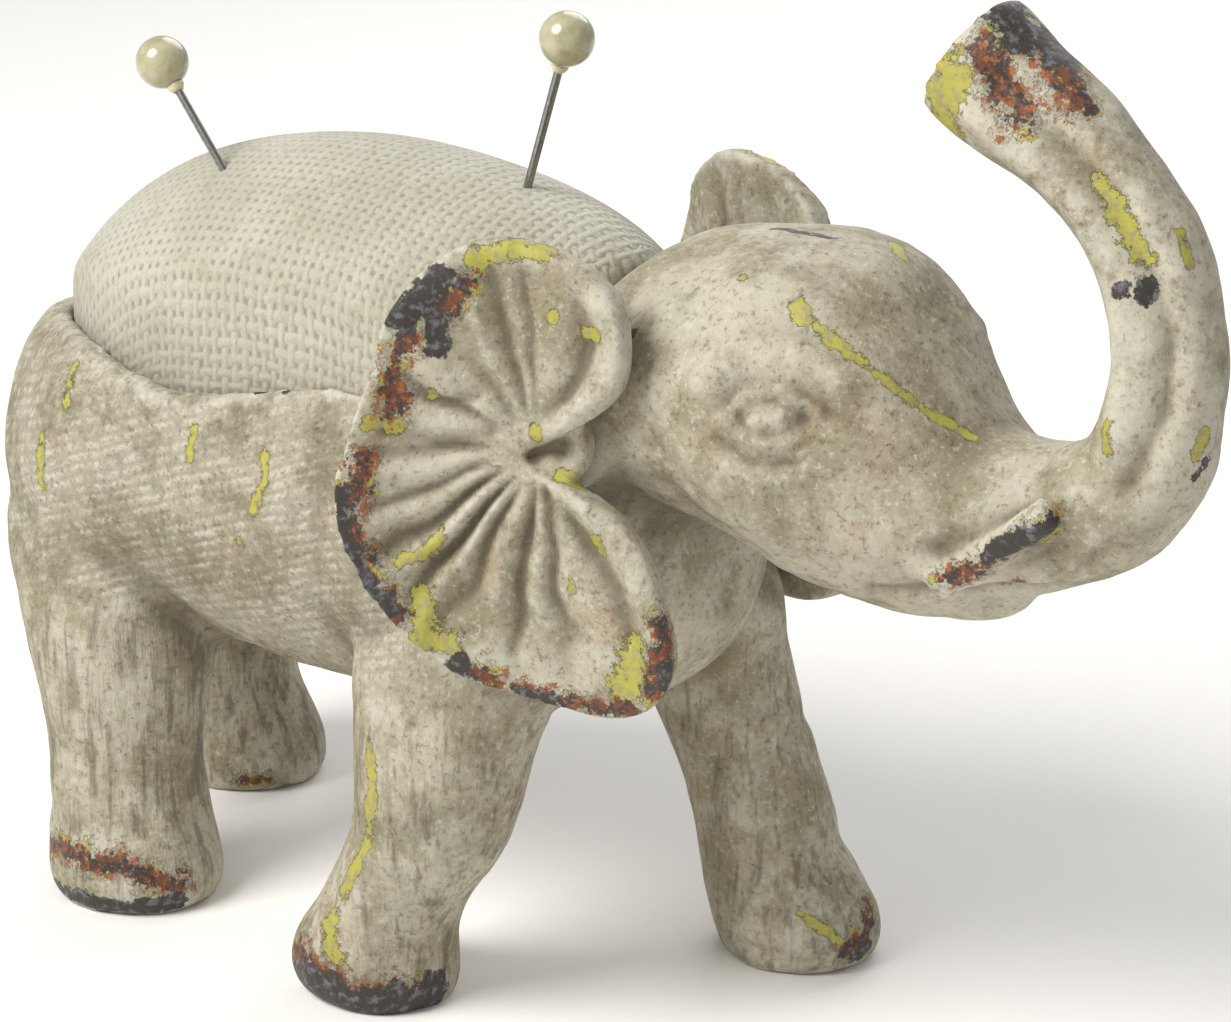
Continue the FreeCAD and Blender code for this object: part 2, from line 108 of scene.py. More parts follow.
# every stroke adds to a lift for each vertex, which is spent in one go
def startSculpt(piece):
    mesh = piece.data
    tree = kdtree.KDTree(len(mesh.vertices))
    for vertex in mesh.vertices:
        tree.insert(vertex.co, vertex.index)
    tree.balance()
    count = len(mesh.vertices)
    coats = {coat: [0.0] * count for coat in ("yellow", "rust", "dark")}
    return {"mesh": mesh, "tree": tree, "lift": [0.0] * count, "coats": coats}


def closeTo(work, path, width):
    # distance in widths from each nearby vertex to a path that is laid on the surface first
    laid = [work["tree"].find(place(*point))[0] for point in path]
    near = {}
    for start, end in zip(laid, laid[1:] or laid):
        steps = max(1, math.ceil((end - start).length / (width * mm * 0.5)))
        for step in range(steps + 1):
            spot = start.lerp(end, step / steps)
            for _, index, distance in work["tree"].find_range(spot, width * mm * 2):
                share = distance / (width * mm)
                near[index] = min(share, near.get(index, 9))
    return near


def stroke(work, lift, width, path):
    for index, share in closeTo(work, path, width).items():
        work["lift"][index] += lift * math.exp(-share * share)


def dab(work, coat, width, path):
    amounts = work["coats"][coat]
    for index, share in closeTo(work, path, width).items():
        amounts[index] = max(amounts[index], 1 - 0.5 * share)


def spendLift(work, keep=None):
    mesh = work["mesh"]
    normals = [vertex.normal.copy() for vertex in mesh.vertices]
    for vertex, normal, lift in zip(mesh.vertices, normals, work["lift"]):
        share = keep[vertex.index] if keep else 1
        vertex.co += normal * (lift * share * mm)
    mesh.update()


def reliefOf(mesh, rounds):
    # above 0 in a hollow and below 0 on a ridge, as a slope between neighbours
    links = [[] for _ in mesh.vertices]
    for edge in mesh.edges:
        first, second = edge.vertices
        links[first].append(second)
        links[second].append(first)
    spots = [vertex.co for vertex in mesh.vertices]
    values = []
    for vertex in mesh.vertices:
        slopes = [(spots[other] - vertex.co).normalized().dot(vertex.normal) for other in links[vertex.index]]
        values.append(sum(slopes) / max(len(slopes), 1))
    for _ in range(rounds):
        values = [(value + sum(values[other] for other in near)) / (1 + len(near))
                  for value, near in zip(values, links)]
    return values


def writeColours(mesh, name, columns):
    layer = mesh.color_attributes.new(name, "FLOAT_COLOR", "POINT")
    colours = []
    for values in zip(*columns):
        colours.extend(values)
    layer.data.foreach_set("color", colours)


casting = {
    "voxel": 0.8,
    "smoothRounds": 5,
    "filletRounds": 22,
    "filletBelow": 0.035,
    "swell": 0.45,
    "swellLength": 8.0,
    "dimple": 0.09,
    "dimpleLength": 2.4,
    "cushionGap": (0.7, 2.4),
    "legTop": (34, 50),  # the streaks on the legs fade out between these heights
    "flankLow": (32, 44),
    "flankHigh": (66, 72),
    "flankBack": (-52, -46),
    "flankFront": (22, 34),
    # how strongly hollows take painted shade and ridges take a painted highlight
    "cavityNear": 7,
    "cavityFar": 11,
    "ridgeShare": 5,
    "ridgeFrom": 0.1,
}

# lift in mm (below 0 is a groove), width in mm, then the points it runs through
bodyForms = [
    (0.7, 6.0, [(-30, -22, 60), (-27, -24, 45), (-26, -24, 30)]),
    (-0.6, 3.2, [(-12, -24, 58), (-15, -23, 44), (-15, -17, 32)]),
    (0.6, 6.0, [(27, -23, 62), (27, -25, 46), (25, -26, 32)]),
    (-0.7, 2.4, [(14, -25, 60), (13, -24, 46), (12, -20, 34)]),
    (-0.5, 1.6, [(17, -27, 12.5), (22, -28, 13.5), (26, -24, 13)]),
    (-0.4, 1.4, [(19, -28, 21), (25, -28, 22.5), (31, -23, 22)]),
    (0.5, 2.6, [(22, -27.5, 26), (27, -27.5, 27)]),
    (-0.4, 1.5, [(-33, -24, 11), (-25, -27, 10), (-17, -23, 11)]),
    (-0.45, 1.6, [(42, 22, 13), (47, 26, 12), (51, 22, 13)]),
    (-0.4, 1.5, [(34, 24, 27), (40, 26, 26), (46, 20, 27)]),
    (-0.5, 3.0, [(-16, 24, 58), (-18, 23, 44), (-18, 17, 32)]),
    (0.6, 6.0, [(-34, 22, 58), (-38, 24, 42), (-41, 25, 26)]),
    (-0.5, 2.0, [(50, -12, 58), (47, -14, 50), (42, -14, 44)]),
    (-0.5, 2.0, [(50, 12, 58), (47, 14, 50), (42, 14, 44)]),
]

# the same on both sides of the head and trunk, given for the right side
headForms = [
    (-1.4, 3.0, [(65.0, -17.2, 76.6), (71.0, -15.7, 77.2)]),
    (1.75, 1.7, [(66.9, -16.9, 76.3), (68.9, -16.2, 76.5)]),
    (0.55, 0.8, [(63.2, -17.9, 76.0), (65.3, -17.0, 78.6), (68.4, -15.6, 79.2), (71.8, -14.4, 77.3)]),
    (1.0, 2.0, [(60.5, -17.6, 79.0), (64.0, -16.4, 82.0), (68.8, -14.6, 82.3), (73.2, -12.6, 80.0)]),
    (0.35, 0.8, [(63.6, -18.0, 75.2), (66.4, -17.5, 73.5), (69.8, -16.1, 73.9), (71.9, -14.6, 75.8)]),
    (-0.45, 0.8, [(62.6, -18.0, 73.6), (66.4, -17.6, 71.8), (70.6, -15.9, 72.2)]),
    (-0.35, 0.9, [(73.0, -13.8, 77.4), (76.4, -12.2, 76.0), (79.2, -11.2, 73.8)]),
    (0.8, 5.0, [(62.0, -10.0, 88.0), (69.0, -9.5, 85.5), (75.0, -8.0, 81.0)]),
    (-0.9, 5.5, [(74.0, -4.0, 84.0), (79.0, -4.5, 79.5), (84.0, -4.0, 75.8)]),
    (0.7, 4.5, [(60.0, -18.0, 68.0), (66.0, -17.0, 64.5), (74.0, -13.6, 61.5)]),
    (-0.8, 2.2, [(54.5, -17.2, 66.0), (56.5, -16.5, 61.0), (62.0, -13.5, 57.8)]),
    (-0.45, 0.9, [(55.0, -17.5, 72.0), (58.0, -17.6, 68.6), (62.5, -17.0, 65.6)]),
    (-0.7, 1.2, [(76.0, -9.0, 58.8), (82.0, -8.6, 59.4), (88.0, -7.2, 60.6), (93.0, -4.4, 61.6)]),
    (0.7, 1.6, [(88.0, -8.0, 61.6), (92.5, -7.2, 62.0), (97.5, -5.6, 64.0)]),
    (-0.7, 1.4, [(84.0, -10.6, 64.6), (89.0, -9.6, 67.4), (94.0, -8.4, 70.8)]),
    (-1.3, 1.5, [(86.0, -4.6, 110.6), (92.0, -4.9, 106.5), (98.6, -4.6, 101.4), (103.0, -3.8, 95.5),
                 (105.6, -3.6, 88.0), (105.4, -3.8, 81.0), (102.6, -4.2, 74.0)]),
    (0.9, 1.8, [(83.5, -5.6, 108.0), (90.5, -5.8, 103.4), (96.5, -5.6, 98.6), (100.2, -5.4, 92.0),
                (101.6, -5.4, 85.0), (100.6, -5.8, 78.5)]),
    (-0.5, 0.8, [(98.6, -4.6, 66.5), (100.6, -3.8, 68.2)]),
]

trunkRings = {"depth": 0.2, "width": 0.7, "across": 4.6, "bulge": 2.2, "rise": 0.4}
trunkRingPlaces = [(101.2, 73.2), (103.6, 77.0), (104.4, 81.5), (104.2, 86.0), (103.2, 90.6), (100.8, 95.0),
                   (97.6, 99.0), (93.6, 102.6)]

# where the coats of paint have worn through: coat, width in mm, points on the surface
bodyWear = [
    ("yellow", 0.95, [(23.3, -26.8, 33.3), (24.0, -27.2, 28.3), (22.3, -27.1, 23.1), (19.4, -27.0, 17.5),
                      (18.5, -27.5, 14.4)]),
    ("yellow", 1.0, [(-29.4, -24.0, 56.4), (-30.0, -24.2, 51.5)]),
    ("yellow", 0.8, [(-26.9, -21.3, 65.2), (-25.6, -23.5, 61.3)]),
    ("yellow", 0.8, [(5.1, -24.2, 61.7), (6.1, -24.8, 59.2), (4.2, -25.3, 55.7)]),
    ("yellow", 0.7, [(2.4, -25.2, 51.6)]),
    ("yellow", 0.7, [(-5.1, -24.1, 62.5), (-5.0, -24.6, 59.4)]),
    ("yellow", 0.65, [(67.6, -11.1, 86.0), (71.2, -10.9, 83.8), (76.1, -9.2, 80.7), (80.5, -6.8, 77.4),
                      (84.0, -3.9, 74.8)]),
    ("yellow", 0.8, [(60.5, -10.8, 87.8)]),
    ("yellow", 0.9, [(67.2, -11.1, 86.4), (68.5, -11.7, 85.0)]),
    ("yellow", 0.9, [(67.7, 4.6, 89.7), (70.2, 3.1, 89.1)]),
    ("yellow", 1.25, [(97.6, -4.9, 103.2), (99.8, -5.0, 100.3), (101.7, -5.1, 97.9), (103.2, -4.9, 96.0)]),
    ("yellow", 0.7, [(100.8, -5.6, 79.9), (100.8, -6.0, 77.2)]),
    ("yellow", 0.7, [(108.6, -2.4, 79.4), (108.6, -2.4, 77.0)]),
    ("yellow", 0.6, [(104.8, -1.6, 98.6), (106.2, -1.9, 95.9)]),
    ("yellow", 1.6, [(17.0, -27.9, 10.7), (18.1, -28.4, 8.0)]),
    ("yellow", 0.7, [(52.0, 12.2, 7.5), (54.9, 13.9, 5.2), (56.5, 15.7, 3.4)]),
    ("yellow", 2.8, [(79.6, -5.8, 108.6), (81.4, -6.2, 111.0), (79.8, -2.0, 107.4)]),
    ("yellow", 0.8, [(83.4, -11.0, 61.4)]),
    ("yellow", 1.0, [(-20, 24, 56), (-22, 24.5, 50)]),
    ("yellow", 0.9, [(12, 24.8, 58), (14, 25, 52), (13, 25, 47)]),
    ("yellow", 0.8, [(-44, 20, 44), (-45, 20.5, 38)]),
    ("yellow", 0.8, [(43, 24, 34), (45, 25, 27), (46, 25, 22)]),
    ("yellow", 0.8, [(-50, -8, 56), (-51, -9, 50)]),
    ("yellow", 0.6, [(66.0, 11.5, 86.0), (71.0, 11.0, 83.5), (76.5, 9.0, 80.4)]),
    ("rust", 2.6, [(86.4, -1.6, 115.0), (90.0, -1.4, 113.0), (93.4, -2.6, 110.2)]),
    ("rust", 2.2, [(84.2, -5.0, 113.6), (87.0, -5.4, 111.0), (88.4, -5.6, 108.4)]),
    ("rust", 1.5, [(85.7, -11.0, 62.2), (88.0, -11.0, 63.4)]),
    ("rust", 1.7, [(88.5, -11.0, 63.6), (91.0, -10.9, 65.4), (94.2, -10.5, 67.9), (96.8, -9.6, 70.2)]),
    ("rust", 1.7, [(86.5, 11.0, 62.6), (91.0, 10.9, 65.4), (96.2, 9.8, 69.6)]),
    ("rust", 2.0, [(-33.0, -22.5, 5.0), (-29.0, -26.2, 6.4), (-24.5, -27.6, 7.4), (-19.9, -26.2, 6.8),
                   (-16.0, -23.6, 5.4), (-14.2, -20.0, 4.0)]),
    ("rust", 2.4, [(9.0, -25.6, 4.4), (12.4, -28.0, 5.2), (16.7, -28.6, 4.4), (21.7, -26.7, 3.0),
                   (24.8, -23.2, 2.6)]),
    ("rust", 1.8, [(55.1, 21.0, 6.5), (56.6, 18.4, 4.6), (56.2, 15.3, 3.4)]),
    ("rust", 1.2, [(-33.8, 9.5, 2.2), (-31.6, 11.4, 2.0)]),
    ("rust", 1.8, [(-49.0, 20.0, 4.0), (-45.0, 25.0, 4.6), (-38.0, 27.4, 3.6)]),
    ("rust", 1.0, [(89.6, -7.0, 61.3), (91.8, -6.6, 62.4)]),
    ("rust", 1.2, [(44.0, 26.6, 3.0), (49.0, 26.6, 3.0)]),
    ("dark", 2.6, [(83.8, -1.0, 117.0), (86.6, -1.8, 115.4), (89.6, 0.6, 114.0)]),
    ("dark", 1.2, [(90.4, -10.9, 65.0), (93.4, -10.7, 67.3), (96.2, -9.9, 69.6)]),
    ("dark", 1.2, [(90.4, 10.9, 65.0), (93.4, 10.7, 67.3), (96.2, 9.9, 69.6)]),
    ("dark", 2.6, [(11.0, -27.2, 2.4), (16.7, -28.0, 2.0), (21.7, -26.2, 1.4), (25.4, -20.6, 1.8)]),
    ("dark", 1.3, [(-32.0, -24.0, 1.6), (-24.2, -27.2, 1.8), (-17.9, -25.0, 1.6), (-14.2, -20.5, 2.0)]),
    ("dark", 1.0, [(57.0, 19.4, 3.0), (56.2, 16.4, 2.0)]),
    ("dark", 1.0, [(101.7, -5.6, 93.4)]),
    ("dark", 1.0, [(103.6, -5.2, 94.0), (103.8, -5.2, 92.6)]),
    ("dark", 0.7, [(1.5, -20.4, 67.7), (2.4, -20.6, 67.9)]),
    ("dark", 0.6, [(5.5, -20.6, 68.6)]),
    ("dark", 0.6, [(50.0, -15.7, 82.1)]),
    ("dark", 0.6, [(108.9, -1.6, 76.6), (108.4, -2.0, 74.4)]),
    ("dark", 0.5, [(56.3, -0.7, 90.8), (60.0, -0.9, 91.0), (64.1, -0.5, 90.8)]),
]


fineArea = {"middle": (68.0, 16.5, 76.5), "reach": 9.5}


def refineEyes(form):
    # twice the faces round the eyes, whose lids are too thin for the rest of the surface's faces
    forward, left, up = fineArea["middle"]
    for middle in (place(forward, left, up), place(forward, -left, up)):
        near = [edge for edge in form.edges
                if all((vertex.co - middle).length < fineArea["reach"] * mm for vertex in edge.verts)]
        bmesh.ops.subdivide_edges(form, edges=near, cuts=1, use_grid_fill=True, smooth=0)


def mirrored(forms):
    for lift, width, path in forms:
        yield lift, width, path
        yield lift, width, [(forward, -left, up) for forward, left, up in path]


def smoothCasting(piece):
    form = bmesh.new()
    form.from_mesh(piece.data)
    smoothed(form, form.verts, casting["smoothRounds"])
    form.to_mesh(piece.data)
    hollows = reliefOf(piece.data, 3)
    form.verts.ensure_lookup_table()
    joints = [form.verts[i] for i, value in enumerate(hollows) if value > casting["filletBelow"]]
    smoothed(form, joints, casting["filletRounds"])
    refineEyes(form)
    form.to_mesh(piece.data)
    form.free()


def clearOfCushion(mesh):
    # 0 on the pocket's walls, rising to 1 away from the cushion, so that no form grows into it
    cushion = bmesh.new()
    cushion.from_mesh(frame["nodes"]["cushion_cover"].data)
    tree = BVHTree.FromBMesh(cushion)
    cushion.free()
    start, full = (gap * mm for gap in casting["cushionGap"])
    shares = []
    for vertex in mesh.vertices:
        hit = tree.find_nearest(vertex.co, full)
        shares.append(1 if hit[0] is None else smoothStep(start, full, hit[3]))
    return shares


def legShare(point):
    # 1 on the legs and fading out over the belly, for the streaks that run down them
    up = (point.z - zero.z) / mm
    return 1 - smoothStep(*casting["legTop"], up)


def flankShare(point):
    forward, up = (point.x - zero.x) / mm, point.z / mm
    return (smoothStep(*casting["flankLow"], up) * (1 - smoothStep(*casting["flankHigh"], up))
            * smoothStep(*casting["flankBack"], forward) * (1 - smoothStep(*casting["flankFront"], forward)))


def writePaintLayers(piece, work):
    mesh = piece.data
    hollows = reliefOf(mesh, 2)
    wide = reliefOf(mesh, 14)
    # painted shade: cavity is how deep each vertex lies in a hollow, and the paint is darkened there
    cavity = [min(max(near * casting["cavityNear"] + far * casting["cavityFar"], 0), 1)
              for near, far in zip(hollows, wide)]
    # painted highlight: ridge is how far each vertex stands out on a ridge, and the paint is lightened there
    share, start = casting["ridgeShare"], casting["ridgeFrom"]
    ridge = [min(max(-near * share - far * share - start, 0), 1) for near, far in zip(hollows, wide)]
    flanks = [flankShare(vertex.co) for vertex in mesh.vertices]
    legs = [legShare(vertex.co) for vertex in mesh.vertices]
    ones = [1.0] * len(flanks)
    coats = work["coats"]
    writeColours(mesh, "wear", (coats["yellow"], coats["rust"], coats["dark"], ones))
    # the relief layer carries the painted shade in hollows and the painted highlight on ridges
    writeColours(mesh, "relief", (cavity, ridge, ones, ones))
    writeColours(mesh, "marks", (flanks, legs, ones, ones))


def makeCasting():
    piece = cleanCopy("elephantCasting", "elephant_casting")
    voxelRemesh(piece, casting["voxel"])
    smoothCasting(piece)
    work = startSculpt(piece)
    for vertex in piece.data.vertices:
        point = vertex.co / mm
        work["lift"][vertex.index] += (noise.noise(point / casting["swellLength"]) * casting["swell"]
                                       + noise.noise(point / casting["dimpleLength"]) * casting["dimple"])
    for lift, width, path in bodyForms:
        stroke(work, lift, width, path)
    for lift, width, path in mirrored(headForms):
        stroke(work, lift, width, path)
    for forward, up in trunkRingPlaces:
        reach = trunkRings["across"]
        crown = (forward + trunkRings["bulge"], 0, up + trunkRings["rise"])
        ring = [(forward, -reach, up), crown, (forward, reach, up)]
        stroke(work, -trunkRings["depth"], trunkRings["width"], ring)
    for coat, width, path in bodyWear:
        dab(work, coat, width, path)
    spendLift(work, clearOfCushion(piece.data))
    for vertex in piece.data.vertices:
        vertex.co.z = max(vertex.co.z, zero.z)  # the soles stand flat on the floor
    writePaintLayers(piece, work)
    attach(piece, "elephant")
    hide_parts("elephant_casting")
    return piece


ears = {
    "right": {"node": "right_ear", "hub": (43.5, -22.6, 70.0), "flare": 20.0, "side": -1},
    "left": {"node": "left_ear", "hub": (36.0, 24.9, 68.6), "flare": 12.0, "side": 1},
}
earShape = {"voxel": 0.45, "smoothRounds": 3, "foldStart": (2.0, 9.0), "foldEnd": (15.0, 26.0),
            "swell": 0.25, "swellLength": 6.0, "outerFade": 0.75, "waver": 4, "waverLength": 5,
            "backStart": -2.5, "backEnd": -1.0, "cup": 0.012, "castFrom": 30}

# folds fan out from the hub: direction in degrees up from forwards, depth in mm (below 0 is a groove), width
earFolds = [
    (38, -0.6, 5), (62, -0.5, 6), (80, 0.35, 7), (94, -0.4, 3), (105, -0.65, 4), (116, 0.4, 4),
    (128, -0.3, 5),
    (140, 0.4, 6), (153, -0.55, 4), (168, 0.5, 7), (183, -0.65, 3.5), (192, 0.4, 5), (201, -0.35, 3),
    (209, 0.35, 5), (217, -0.8, 3.5), (225, 0.7, 4), (232, -0.95, 3), (238, 0.55, 3), (244, -0.55, 3),
    (254, 0.45, 5), (263, -0.8, 3), (271, 0.45, 4), (279, -0.45, 3), (291, 0.5, 6),
]

# rolled edges and creases in the ear's own forward and up: lift, width, points
earEdges = [
    (1.1, 1.9, [(0.5, 1.6), (4.4, 4.6), (7.6, 8.0), (8.6, 12.0), (7.2, 16.2)]),
    (-0.6, 1.2, [(1.4, 4.6), (4.6, 7.6), (5.4, 11.6), (4.4, 15.6)]),
    (1.2, 1.7, [(0.8, -1.6), (5.6, -5.6), (9.6, -10.0), (12.6, -15.0), (13.6, -20.0)]),
    (-0.7, 1.2, [(1.0, -4.6), (5.0, -8.6), (8.8, -13.4), (10.4, -18.6)]),
    (-1.0, 1.5, [(-0.6, -0.4), (1.6, -0.2)]),
    (0.5, 1.3, [(-16.0, 7.0), (-17.6, -1.0), (-18.0, -9.0), (-15.0, -17.0)]),
    (0.4, 1.2, [(-13.0, 14.2), (-6.0, 20.0), (0.4, 20.0)]),
    (-0.5, 0.8, [(-6.0, 5.6), (-10.0, 4.6), (-14.6, 5.4)]),
    (-0.5, 0.8, [(-5.0, 1.4), (-10.4, 0.6), (-15.6, 1.4)]),
]

earWear = [
    ("rust", 2.3, [(-13.0, 12.0), (-14.6, 8.0), (-14.8, 4.4)]),
    ("rust", 1.8, [(-7.4, 17.2), (-9.6, 15.0)]),
    ("rust", 1.9, [(-17.6, -2.0), (-18.8, -6.0), (-18.2, -10.4), (-16.4, -14.8), (-14.4, -18.6)]),
    ("rust", 1.6, [(-8.4, -24.4), (-3.0, -26.0), (3.0, -27.0), (8.0, -27.0), (11.4, -26.0)]),
    ("rust", 2.1, [(14.4, -16.6), (14.6, -19.6), (13.4, -23.4)]),
    ("dark", 1.7, [(-13.6, 13.6), (-11.4, 15.8), (-9.6, 17.6)]),
    ("dark", 1.3, [(-10.6, 13.0), (-10.2, 10.6)]),
    ("dark", 1.1, [(-19.4, -5.0), (-19.4, -9.0), (-17.8, -13.6), (-15.4, -17.8)]),
    ("dark", 1.2, [(-9.6, -24.6), (-8.0, -24.0)]),
    ("dark", 1.0, [(-2.0, -26.8), (1.6, -27.4)]),
    ("dark", 1.0, [(15.2, -20.6), (14.6, -22.8)]),
    ("yellow", 1.5, [(-6.4, 20.4), (-3.0, 21.2), (0.6, 21.0)]),
    ("yellow", 0.9, [(-15.6, 7.4), (-15.4, 5.4)]),
    ("yellow", 1.1, [(-16.6, 2.6), (-14.0, 2.2)]),
    ("yellow", 0.8, [(-10.8, 5.4)]),
    ("yellow", 0.9, [(5.6, 13.2), (6.2, 12.4)]),
    ("yellow", 0.7, [(2.0, 14.2)]),
    ("yellow", 0.8, [(0.4, 2.8), (0.6, 1.8)]),
    ("yellow", 0.9, [(2.6, -2.6), (4.6, -3.6)]),
    ("yellow", 0.8, [(6.6, -8.6), (7.4, -10.0)]),
    ("yellow", 0.9, [(-14.0, -12.4), (-11.6, -11.6), (-9.8, -9.8)]),
    ("yellow", 1.6, [(-12.4, -16.6), (-11.6, -18.8), (-12.6, -21.0), (-9.6, -21.4)]),
    ("yellow", 1.9, [(9.6, -23.6), (11.4, -19.6), (10.4, -25.4)]),
    ("yellow", 0.6, [(3.6, -13.0), (4.0, -14.6)]),
]


def earAxes(ear):
    turn = math.radians(-ear["side"] * ear["flare"])
    forward = Vector((math.cos(turn), math.sin(turn), 0))
    outward = Vector((-math.sin(turn), math.cos(turn), 0)) * ear["side"]
    return forward, outward


def earFold(forward, up):
    angle = math.degrees(math.atan2(up, forward)) % 360
    distance = math.hypot(forward, up)
    fade = 1 - earShape["outerFade"] * smoothStep(*earShape["foldEnd"], distance)
    share = smoothStep(*earShape["foldStart"], distance) * fade
    waver = earShape["waver"] * noise.noise(Vector((forward, up, 3)) / earShape["waverLength"])
    lift = 0
    for direction, depth, width in earFolds:
        away = (angle + waver - direction + 180) % 360 - 180
        lift += depth * math.exp(-(away / width) ** 2)
    return lift * share


def makeEar(name, ear):
    piece = cleanCopy(name + "Ear", ear["node"])
    voxelRemesh(piece, earShape["voxel"])
    form = bmesh.new()
    form.from_mesh(piece.data)
    smoothed(form, form.verts, earShape["smoothRounds"])
    form.to_mesh(piece.data)
    form.free()

    hub = place(*ear["hub"])
    forwardWay, outward = earAxes(ear)
    work = startSculpt(piece)
    outer = BVHTree.FromPolygons([vertex.co for vertex in piece.data.vertices],
                                 [face.vertices for face in piece.data.polygons])

    def onEar(forward, up):
        away = outward * earShape["castFrom"] * mm
        start = hub + forwardWay * forward * mm + Vector((0, 0, up * mm)) + away
        hit = outer.ray_cast(start, -outward)[0]
        point = hit or start - away
        return tuple((point - zero) / mm)

    for lift, width, path in earEdges:
        stroke(work, lift, width, [onEar(*point) for point in path])
    for coat, width, path in earWear:
        dab(work, coat, width, [onEar(*point) for point in path])
    for vertex in piece.data.vertices:
        away = (vertex.co - hub) / mm
        forward, up = away.dot(forwardWay), away.z
        facing = vertex.normal.dot(outward)
        lift = work["lift"][vertex.index] * max(facing, 0)
        swell = noise.noise(vertex.co / mm / earShape["swellLength"]) * earShape["swell"]
        depth = away.dot(outward) - earShape["cup"] * forward * forward
        behind = smoothStep(earShape["backStart"], earShape["backEnd"], depth)
        vertex.co += outward * ((lift + (earFold(forward, up) + swell) * behind) * mm)
    piece.data.update()
    writePaintLayers(piece, work)
    for item in piece.data.color_attributes["marks"].data:
        item.color = (0, 0, 1, 1)
    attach(piece, "elephant")
    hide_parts(ear["node"])
    return piece


cushion = {
    "voxel": 1.1,
    "pressure": 4.0,
    "frames": 20,
    "mostPuff": 0.45,
    "fill": 0.9,
    "quality": 5,
    "edgeUp": 0.8,  # the cloth is measured from this far above the cover's underside
    "slices": 60,
    "turns": 24,
    "cavity": 9,
    # painted shade: the cloth is darkened towards the pocket's rim
    "rimShade": (66, 76),  # the cloth darkens towards the rim between these heights
}


def inflate(piece):
    flat = [vertex.co.copy() for vertex in piece.data.vertices]
    modifier = piece.modifiers.new("Cloth", "CLOTH")
    settings = modifier.settings
    settings.quality = cushion["quality"]
    settings.use_pressure = True
    settings.uniform_pressure_force = cushion["pressure"]
    settings.effector_weights.gravity = 0
    modifier.point_cache.frame_start = 1
    modifier.point_cache.frame_end = cushion["frames"]
    for step in range(1, cushion["frames"] + 1):
        scene.frame_set(step)
    bake(piece)
    furthest = 0
    for vertex, start in zip(piece.data.vertices, flat):
        move = vertex.co - start
        furthest = max(furthest, move.length)
        limit = cushion["mostPuff"] * mm
        vertex.co = start + (move.normalized() * min(move.length, limit) if move.length else move)
    scene.frame_set(1)
    print("cushion: the cloth wanted to move up to", round(furthest / mm, 2), "mm")


def arcLengths(mesh):
    # how far each point lies along and across the cloth from its crown, in mm, measured over the dome
    low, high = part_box("cushion_cover")
    base = low.z + cushion["edgeUp"] * mm
    bins = cushion["slices"]
    half = [0.0] * bins
    tall = [0.0] * bins
    span = high.x - low.x
    for vertex in mesh.vertices:
        slot = min(max(int((vertex.co.x - low.x) / span * bins), 0), bins - 1)
        half[slot] = max(half[slot], abs(vertex.co.y))
        tall[slot] = max(tall[slot], vertex.co.z - base)
    half = [value or 0.001 for value in half]
    tall = [value or 0.001 for value in tall]
    steps = cushion["turns"]
    along = []
    across = []
    for turn in range(steps + 1):
        angle = math.pi / 2 * turn / steps
        total = 0
        line = [0.0]
        for slot in range(1, bins):
            run = span / bins
            rise = (tall[slot] - tall[slot - 1]) * math.cos(angle)
            out = (half[slot] - half[slot - 1]) * math.sin(angle)
            total += math.sqrt(run * run + rise * rise + out * out)
            line.append(total)
        along.append([value - line[bins // 2] for value in line])
    for slot in range(bins):
        total = 0
        line = [0.0]
        for turn in range(1, steps + 1):
            angle = math.pi / 2 * (turn - 0.5) / steps
            reach = math.hypot(half[slot] * math.cos(angle), tall[slot] * math.sin(angle))
            total += reach * math.pi / 2 / steps
            line.append(total)
        across.append(line)

    def between(line, share):
        share = min(max(share, 0), len(line) - 1.001)
        first = int(share)
        return line[first] + (line[first + 1] - line[first]) * (share - first)

    values = []
    for vertex in mesh.vertices:
        slot = min(max((vertex.co.x - low.x) / span * bins - 0.5, 0), bins - 1.001)
        first = int(slot)
        angle = math.atan2(abs(vertex.co.y) / half[first], max(vertex.co.z - base, 0) / tall[first])
        turn = angle / (math.pi / 2) * steps
        nearer = between(along[min(int(turn), steps)], slot)
        further = between(along[min(int(turn) + 1, steps)], slot)
        length = nearer + (further - nearer) * (turn - int(turn))
        side = between([between(line, turn) for line in (across[first], across[first + 1])], slot - first)
        values.append((length / mm, math.copysign(side, vertex.co.y) / mm))
    return values


def makeCushion():
    piece = cleanCopy("wovenCushion", "cushion_cover", "cushion_filling", "cushion_board")
    voxelRemesh(piece, cushion["voxel"])
    inflate(piece)
    modifier = piece.modifiers.new("Subdivision", "SUBSURF")
    modifier.levels = 1
    modifier.render_levels = 1
    bake(piece)
    for face in piece.data.polygons:
        face.use_smooth = True
    mesh = piece.data
    lengths = arcLengths(mesh)
    layer = mesh.attributes.new("cloth", "FLOAT_VECTOR", "POINT")
    flat = []
    for along, across in lengths:
        flat.extend((along, across, 0))
    layer.data.foreach_set("vector", flat)
    # painted shade: the cloth is darkened in its creases and towards the rim
    cavity = [min(max(value * cushion["cavity"], 0), 1) for value in reliefOf(mesh, 4)]
    rim = [1 - smoothStep(*cushion["rimShade"], vertex.co.z / mm) for vertex in mesh.vertices]
    ones = [1.0] * len(rim)
    writeColours(mesh, "relief", (cavity, rim, ones, ones))
    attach(piece, "elephant")
    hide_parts("cushion_cover")
    return piece


pin = {
    "pearlRadius": 3.0,
    "length": 38.0,
    "shankRadius": 0.475,
    "pointLength": 4.0,
    "pointRadius": 0.06,
    "mouthRadius": 0.8,
    "collarRadius": 0.98,
    "collarLength": 0.9,
    "sides": 64,
    "pearlSteps": 40,
    "boreDepth": 1.4,
    "boreGap": 0.02,
    "boreLip": 0.34,
    "lipRadius": 0.62,
    "lipDepth": 0.2,
    "inPearl": 1.3,
    "collarStep": 0.12,
}


